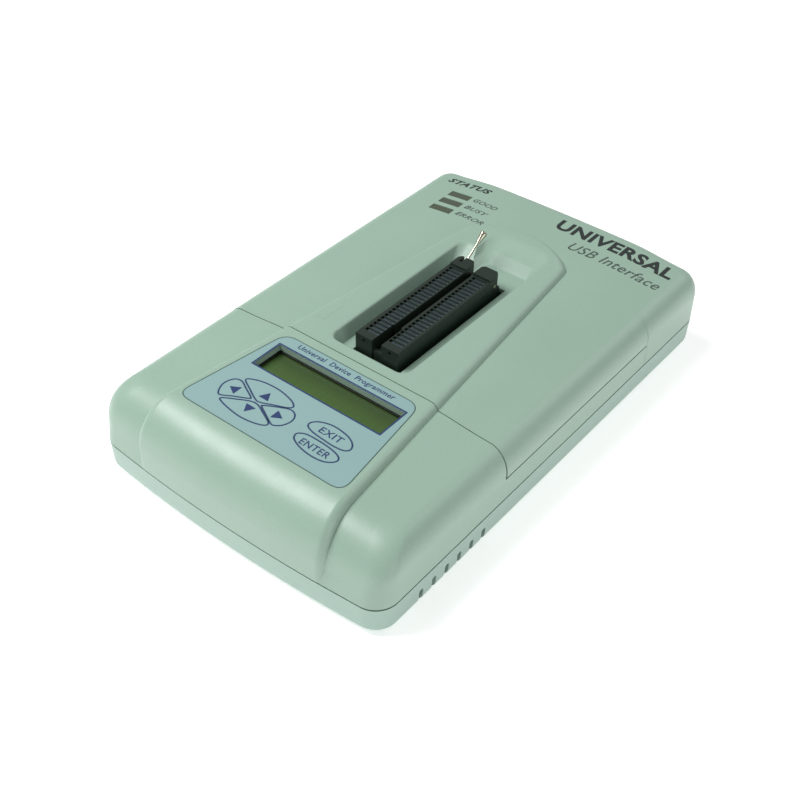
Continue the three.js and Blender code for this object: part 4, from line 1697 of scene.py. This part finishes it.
@dataclass
class Socket:
    """Lever-locked test socket: base, contacts and lever."""

    top: float = 48.6
    floor: float = 35.0
    slots: int = 24
    pitch: float = 2.54
    first: float = -23.7
    slot_size: tuple[float, float, float] = (7.2, 1.8, 4.2)
    narrow_y: float = -14.5
    shaft: Place = (-8.9, 40.8, 44.2)
    angle: float = 35.0
    wire: float = 0.55
    length: float = 21.2
    rails: tuple[Rail, ...] = (
        Rail("left", -12.35, -3.05, -12.35, -3.5, -10.8, (-11.7, -3.05), "socket_contacts_left"),
        Rail("right", 0.65, 10.35, 1.5, 10.35, 1.9, (1.0, 10.1), "socket_contacts_right"),
    )

    def slot_rows(self, rail: Rail) -> Work:
        """Makes the space of a rail's slots, from one that is copied.

        Args:
            rail: the rail.

        Returns:
            The slots, in one mesh.
        """
        long, wide, deep = self.slot_size
        first = Work.block(
            "slot",
            (rail.slot_x, self.first - wide / 2, self.top - deep),
            (rail.slot_x + long, self.first + wide / 2, 52),
        )
        copies = [first.copy("slot", (0, i * self.pitch, 0)) for i in range(1, self.slots)]
        return first.gather(copies)

    def rail(self, rail: Rail, front: float, back: float) -> Work:
        """Shapes one rail with its end block and slots.

        Args:
            rail: the rail.
            front: its front end.
            back: its back end.

        Returns:
            The rail.
        """
        body = Work.block("rail", (rail.x0, self.narrow_y, self.floor), (rail.x1, back, self.top))
        nose = Work.block(
            "nose", (rail.wide_x0, front, self.floor), (rail.wide_x1, self.narrow_y + 1, self.top)
        )
        body.join(nose)
        x0, x1 = rail.block_x
        plan = [(x0, back - 7.8), (x1, back - 7.8), (x1, back - 1.5)]
        plan += [(x1 - 1.3, back), (x0 + 1.3, back), (x0, back - 1.5)]
        body.cut(Work.block("notch", (rail.x0 - 1, back - 6.2, 42.6), (rail.x1 + 1, back + 1, 60)))
        body.join(Work.drawn("end_block", plan, 42, self.top + 1.2))
        body.cut(self.slot_rows(rail))
        middle = (rail.wide_x0 + rail.wide_x1) / 2
        body.cut(Work.rod("dimple", (middle, front, 46.4), 0.75, 1.6, Axis.Y, 20))
        return body

    def base(self) -> Work:
        """Shapes the black base.

        Returns:
            The base.
        """
        low, high = near("socket_base")
        front, back = low.y, high.y
        base = Work.block("socket_base_body", (low.x, front, self.floor), (high.x, back, 38.6))
        for rail in self.rails:
            base.join(self.rail(rail, front, back))
        gate = Work.block("gate", (-4.4, front + 0.5, 38), (1.7, front + 2.3, 43.4))
        base.join(gate)
        x, y, z = self.shaft
        base.cut(Work.rod("bore", (-1, y, z), 1.25, 40, Axis.X))
        base.cut(Work.rod("cam_room", (-1.2, y, z), 1.9, 4.2, Axis.X))
        return base.cut(Work.block("lever_slot", (x - 0.68, y - 0.7, z - 0.9), (x + 0.68, back + 2, 60)))

    def contact_row(self, rail: Rail) -> Work:
        """Shapes one spring contact and copies it along a rail.

        Args:
            rail: the rail.

        Returns:
            The row, in one mesh.
        """
        long, wide, _ = self.slot_size
        x0 = rail.slot_x + 1.25
        x1 = rail.slot_x + long - 0.12
        half = wide / 2 - 0.12
        y = self.first
        leaf = Work.block("contact", (x0, y - half, 44.8), (x1, y + half, self.top - 0.35))
        groove = Work.block("groove", (x0 - 1, y - 0.16, 46.4), (x1 - 0.9, y + 0.16, 50))
        leaf.cut(groove)
        leaf.bevel(lambda m, e: m.z > self.top - 0.4 and abs(m.y - y) > half - 0.05, 0.22, 2)
        copies = [leaf.copy("contact", (0, i * self.pitch, 0)) for i in range(1, self.slots)]
        row = leaf.gather(copies)
        row.obj.name = "contact_row_" + rail.name
        return row

    def lever(self) -> None:
        """Builds the bent wire, its shaft and its knob."""
        x, y, z = self.shaft
        low, high = near("socket_lever")
        shaft = Work.rod("lever_wire", ((low.x + high.x) / 2, y, z), 1.0, high.x - low.x, Axis.X)
        shaft.bevel(lambda m, e: abs(m.x - high.x) < 0.01, 0.25, 2)
        shaft.join(Work.rod("cam", (-1.15, y, z), 1.5, 3.0, Axis.X))
        wire = Work.turned("wire", [(self.wire, 0), (self.wire, self.length - 1.0)], 24)
        wire.turn(self.angle - 90, "x", (x, y, z))
        shaft.join(wire).smooth().dress(CHROME, "lever", ["socket_lever"])
        profile = [(0.62, 0.0), (0.96, 0.06), (1.02, 0.4), (1.08, 1.2), (1.26, 2.4), (1.5, 3.5), (1.68, 4.3)]
        profile += [(1.76, 4.9), (1.72, 5.35), (1.5, 5.68), (1.0, 5.8), (0.3, 5.8)]
        start = self.length - 5.8
        knob = Work.turned("lever_grip", [(r, h + start) for r, h in profile], 32)
        knob.cut(Work.rod("bore", (0, 0, start + 2.3), 0.6, 5.2, sides=24))
        knob.turn(self.angle - 90, "x", (x, y, z))
        knob.smooth(50).dress(CHROME, "lever", ["socket_lever_knob"])

    def build(self) -> None:
        """Builds and dresses the socket."""
        self.base().soften(0.12, 2).smooth().dress(SOCKET, replaces=["socket_base"])
        for rail in self.rails:
            self.contact_row(rail).smooth(30).dress(CONTACT, replaces=[rail.contacts])
        self.lever()


# ---- lamps, connectors, underside --------------------------------------------------------


@dataclass
class Lamps:
    """Three status lamps with their words."""

    housing: Housing
    x: Spot = (-54.9, -42.6)
    y: dict[str, Spot] = field(
        default_factory=lambda: {"good": (92.3, 97.1), "busy": (84.6, 89.4), "error": (76.9, 81.7)}
    )
    words: dict[str, tuple[float, float, float, float]] = field(
        default_factory=lambda: {
            "good": (-40.4, -26.8, 93.7, 96.9),
            "busy": (-40.4, -27.2, 86.2, 89.4),
            "error": (-40.4, -24.6, 78.8, 82.0),
        }
    )

    def places(self) -> list[Spot]:
        """Gives the front and back edge of each window."""
        return list(self.y.values())

    def opening(self, place: Spot) -> Work:
        """Makes the space of one window.

        Args:
            place: its front and back edge.

        Returns:
            The space.
        """
        return Work.block("opening", (self.x[0], place[0], 33), (self.x[1], place[1], 60))

    def build(self) -> None:
        """Builds the windows and prints their words."""
        for name, (front, back) in self.y.items():
            low = near("lamp_window_" + name)[0].z
            lens = Work.block(
                "lamp_lens_" + name,
                (self.x[0] + 0.15, front + 0.15, low),
                (self.x[1] - 0.15, back - 0.15, 43),
            )
            lens.soften(0.25, 2)
            lens.drape(
                lambda p: Vector((p.x, p.y, p.z if p.z < 40 else p.z - 43 + self.housing.crown(p.x) - 0.12))
            )
            lens.smooth().dress(LAMP, replaces=["lamp_window_" + name])
            word = Work.lettering(
                name + "_word", name.upper(), self.words[name], self.housing.crown, 0.3, 0.008
            )
            word.dress(GREY_INK)


@dataclass
class Markings:
    """Printing on the covers; every word on it is a plain description."""

    housing: Housing

    def build(self) -> None:
        """Prints the headings and the small mark beside the recess."""
        crown = self.housing.crown
        words = (
            ("lamp_heading", "STATUS", (-63.2, -37.9, 103.9, 107.9), 0.3, 0.03, BLACK_INK),
            ("main_heading", "UNIVERSAL", (3.2, 66.0, 100.4, 108.9), 0.0, 0.034, BLACK_INK),
            ("sub_heading", "USB Interface", (17.6, 65.5, 88.9, 95.6), 0.25, 0.004, GREY_INK),
        )
        for name, text, box, slant, weight, ink in words:
            Work.lettering(name, text, box, crown, slant, weight).dress(ink)
        top = self.housing.hump_top
        corner = [(-35.0, -28.6), (-30.0, -28.6), (-30.0, -16.0)]
        corner += [(-30.35, -16.0), (-30.35, -28.25), (-35.0, -28.25)]
        Work.drawn("pin_mark", corner, top - 0.02, top + 0.02).dress(PALE_INK)
        Work.rod("pin_dot", (-32.6, -12.6, top), 0.5, 0.04, sides=20).dress(PALE_INK)


@dataclass
class Connectors:
    """USB and power sockets in the back wall."""

    def openings(self) -> list[Work]:
        """Makes the spaces that the covers leave for the connectors.

        Returns:
            One space for each.
        """
        spaces = []
        for node in ("usb_socket", "power_socket"):
            low, high = near(node)
            spaces.append(
                Work.block("opening", (low.x - 0.35, 112, low.z - 0.3), (high.x + 0.35, 130, high.z + 0.35))
            )
        return spaces

    def build(self) -> None:
        """Builds and dresses both connectors."""
        low, high = near("usb_socket")
        cx, cz = (low.x + high.x) / 2, (low.z + high.z) / 2
        shell = Work.block("usb_shell", low, high)
        shell.bevel(lambda m, e: abs(m.z - high.z) < 0.01 and abs(m.x - cx) > 5.9, 0.8, 3)
        mouth = [(-4.2, -3.9), (4.2, -3.9), (4.2, 2.2), (2.6, 3.9), (-2.6, 3.9), (-4.2, 2.2)]
        room = Work.drawn("mouth", [(cx + a, cz + b) for a, b in mouth], 0, 10)
        room.drape(lambda p: Vector((p.x, high.y - 9 + p.z * 1.1, p.y)))
        shell.cut(room.face_out()).soften(0.15).smooth().dress(SHELL, replaces=["usb_socket"])
        tongue = Work.block(
            "usb_tongue", (cx - 2.8, high.y - 8.9, cz - 1.6), (cx + 2.8, high.y - 4.8, cz + 1.6)
        )
        tongue.soften(0.3).smooth().dress(LED)
        pin = Work.block("pin", (cx - 2.2, high.y - 8.8, cz + 1.61), (cx - 1.2, high.y - 5.2, cz + 1.8))
        pin.soften(0.05, 1)
        pins = pin.gather([pin.copy("pin", step) for step in ((0, 0, -3.41), (3.4, 0, 0), (3.4, 0, -3.41))])
        pins.obj.name = "usb_pins"
        pins.dress(SCREW)
        low, high = near("power_socket")
        cx, cz = (low.x + high.x) / 2, (low.z + high.z) / 2
        body = Work.block("power_body", low, high)
        body.cut(Work.rod("bore", (cx, high.y - 5, cz), 3.1, 10.4, Axis.Y))
        body.soften(0.25).smooth().dress(BLACK, replaces=["power_socket"])
        pin = Work.rod("power_pin", (cx, high.y - 7.4, cz), 1.0, 5.2, Axis.Y)
        pin.bevel(lambda m, e: abs(m.y - (high.y - 4.8)) < 0.01, 0.4, 3).smooth().dress(SCREW)


@dataclass
class Underside:
    """Rubber feet and case screws."""

    housing: Housing

    def build(self) -> None:
        """Builds one foot and one screw and copies each."""
        foot = Work.turned(
            "foot", [(4.9, 0.0), (5.5, 0.12), (5.85, 0.45), (6.0, 1.0), (6.0, 2.7)], 48
        ).smooth()
        for i, (x, y) in enumerate(self.housing.feet, 1):
            foot.copy(f"rubber_foot_{i}", (x, y, 0)).dress(FOOT, replaces=[f"foot_{i}"])
        bpy.data.objects.remove(foot.obj)
        profile = [(1.9, 5.0), (2.5, 5.25), (2.8, 5.7), (2.8, 7.0), (1.5, 7.01), (1.5, 28.4), (0.9, 29.0)]
        screw = Work.turned("screw", profile, 32)
        screw.cut(Work.block("drive", (-1.6, -0.4, 4), (1.6, 0.4, 6)))
        screw.cut(Work.block("drive", (-0.4, -1.6, 4), (0.4, 1.6, 6)))
        screw.smooth()
        for i, (x, y) in enumerate(self.housing.posts, 1):
            screw.copy(f"cross_screw_{i}", (x, y, 0)).dress(SCREW, replaces=[f"case_screw_{i}"])
        bpy.data.objects.remove(screw.obj)


@dataclass
class Inside:
    """Pieces behind the covers, which keep the frame's shapes and get finishes."""

    finishes: tuple[Finish, ...] = (GREEN_BOARD, BLACK, SCREW, CAN, SHELL, FRAME, SOCKET, LED, CONTACT)

    def build(self) -> None:
        """Dresses every node that no new piece stands for."""
        by_slot = {finish.slot: finish for finish in self.finishes}
        slots = {part["node"]: part["material_slot"] for part in frame["record"]["subparts"]}
        for name, node in frame["nodes"].items():
            if not node.hide_render:
                finish = by_slot[slots[name]]
                node.data.materials.clear()
                node.data.materials.append(finish.material())
                log.info("%s: %s", name, finish.name)


# ---- studio ------------------------------------------------------------------------------


@dataclass
class Studio:
    """Pale floor, soft lights and the camera."""

    camera_place: Place = (245.4, -332.7, 357.7)
    azimuth: float = 37.51
    elevation: float = 41.01
    roll: float = 1.66
    lens: float = 54.07

    def lamp(self, name: str, place: Place, aim: Place, size: float, power: float) -> None:
        """Adds a soft square light.

        Args:
            name: its name.
            place: where it stands, in metres.
            aim: what it points at, in metres.
            size: its side in metres.
            power: its power in watts.
        """
        data = bpy.data.lights.new(name, "AREA")
        data.size = size
        data.energy = power
        obj = bpy.data.objects.new(name, data)
        bpy.context.scene.collection.objects.link(obj)
        obj.location = place
        obj.rotation_euler = (Vector(aim) - Vector(place)).to_track_quat("-Z", "Y").to_euler()

    def build(self) -> None:
        """Sets the stage."""
        scene = bpy.context.scene
        scene.view_settings.view_transform = "Standard"
        world = bpy.data.worlds.new("studio")
        world.use_nodes = True
        world.node_tree.nodes["Background"].inputs["Color"].default_value = (1, 1, 1, 1)
        world.node_tree.nodes["Background"].inputs["Strength"].default_value = 0.3
        scene.world = world
        Work.clear()
        bpy.ops.mesh.primitive_plane_add(size=12)
        floor = Work.taken("floor")
        paper = Graph("floor paper")
        paper.set(
            Base_Color=paper.mix(paper.noise(60, 2), (0.9, 0.9, 0.9, 1), (0.93, 0.93, 0.93, 1)),
            Roughness=0.9,
            Emission_Color=(1, 1, 1, 1),
            Emission_Strength=0.5,
        )
        floor.obj.data.materials.append(paper.material)
        self.lamp("overhead", (-0.6, -0.38, 1.13), (0, 0, 0), 0.7, 19.5)
        self.lamp("right fill", (1.7, -0.5, 0.3), (0, 0, 0), 1.0, 9)
        self.lamp("back fill", (0.7, 1.5, 1.3), (0, 0, 0), 1.2, 7)
        data = bpy.data.cameras.new("camera")
        data.lens = self.lens
        data.sensor_width = 36
        data.clip_start = 0.01
        camera = bpy.data.objects.new("camera", data)
        scene.collection.objects.link(camera)
        a, e, r = (math.radians(v) for v in (self.azimuth, self.elevation, self.roll))
        forward = Vector((-math.sin(a) * math.cos(e), math.cos(a) * math.cos(e), -math.sin(e)))
        level = Vector((math.cos(a), math.sin(a), 0))
        rise = level.cross(forward)
        right = level * math.cos(r) + rise * math.sin(r)
        up = right.cross(forward)
        turn = camera.matrix_world.to_3x3()
        turn.col[0], turn.col[1], turn.col[2] = right, up, -forward
        camera.matrix_world = turn.to_4x4()
        camera.location = Vector(self.camera_place) * MM
        scene.camera = camera


def main() -> None:
    """Builds the programmer and its studio."""
    logging.basicConfig(level=logging.INFO, format="%(name)s: %(message)s")
    housing, panel, rear = Housing(), Panel(), Connectors()
    lamps = Lamps(housing)
    housing.build(panel, lamps, rear)
    panel.build()
    Display().build()
    Socket().build()
    lamps.build()
    Markings(housing).build()
    rear.build()
    Underside(housing).build()
    Inside().build()
    Studio().build()


if __name__ == "__main__":
    main()
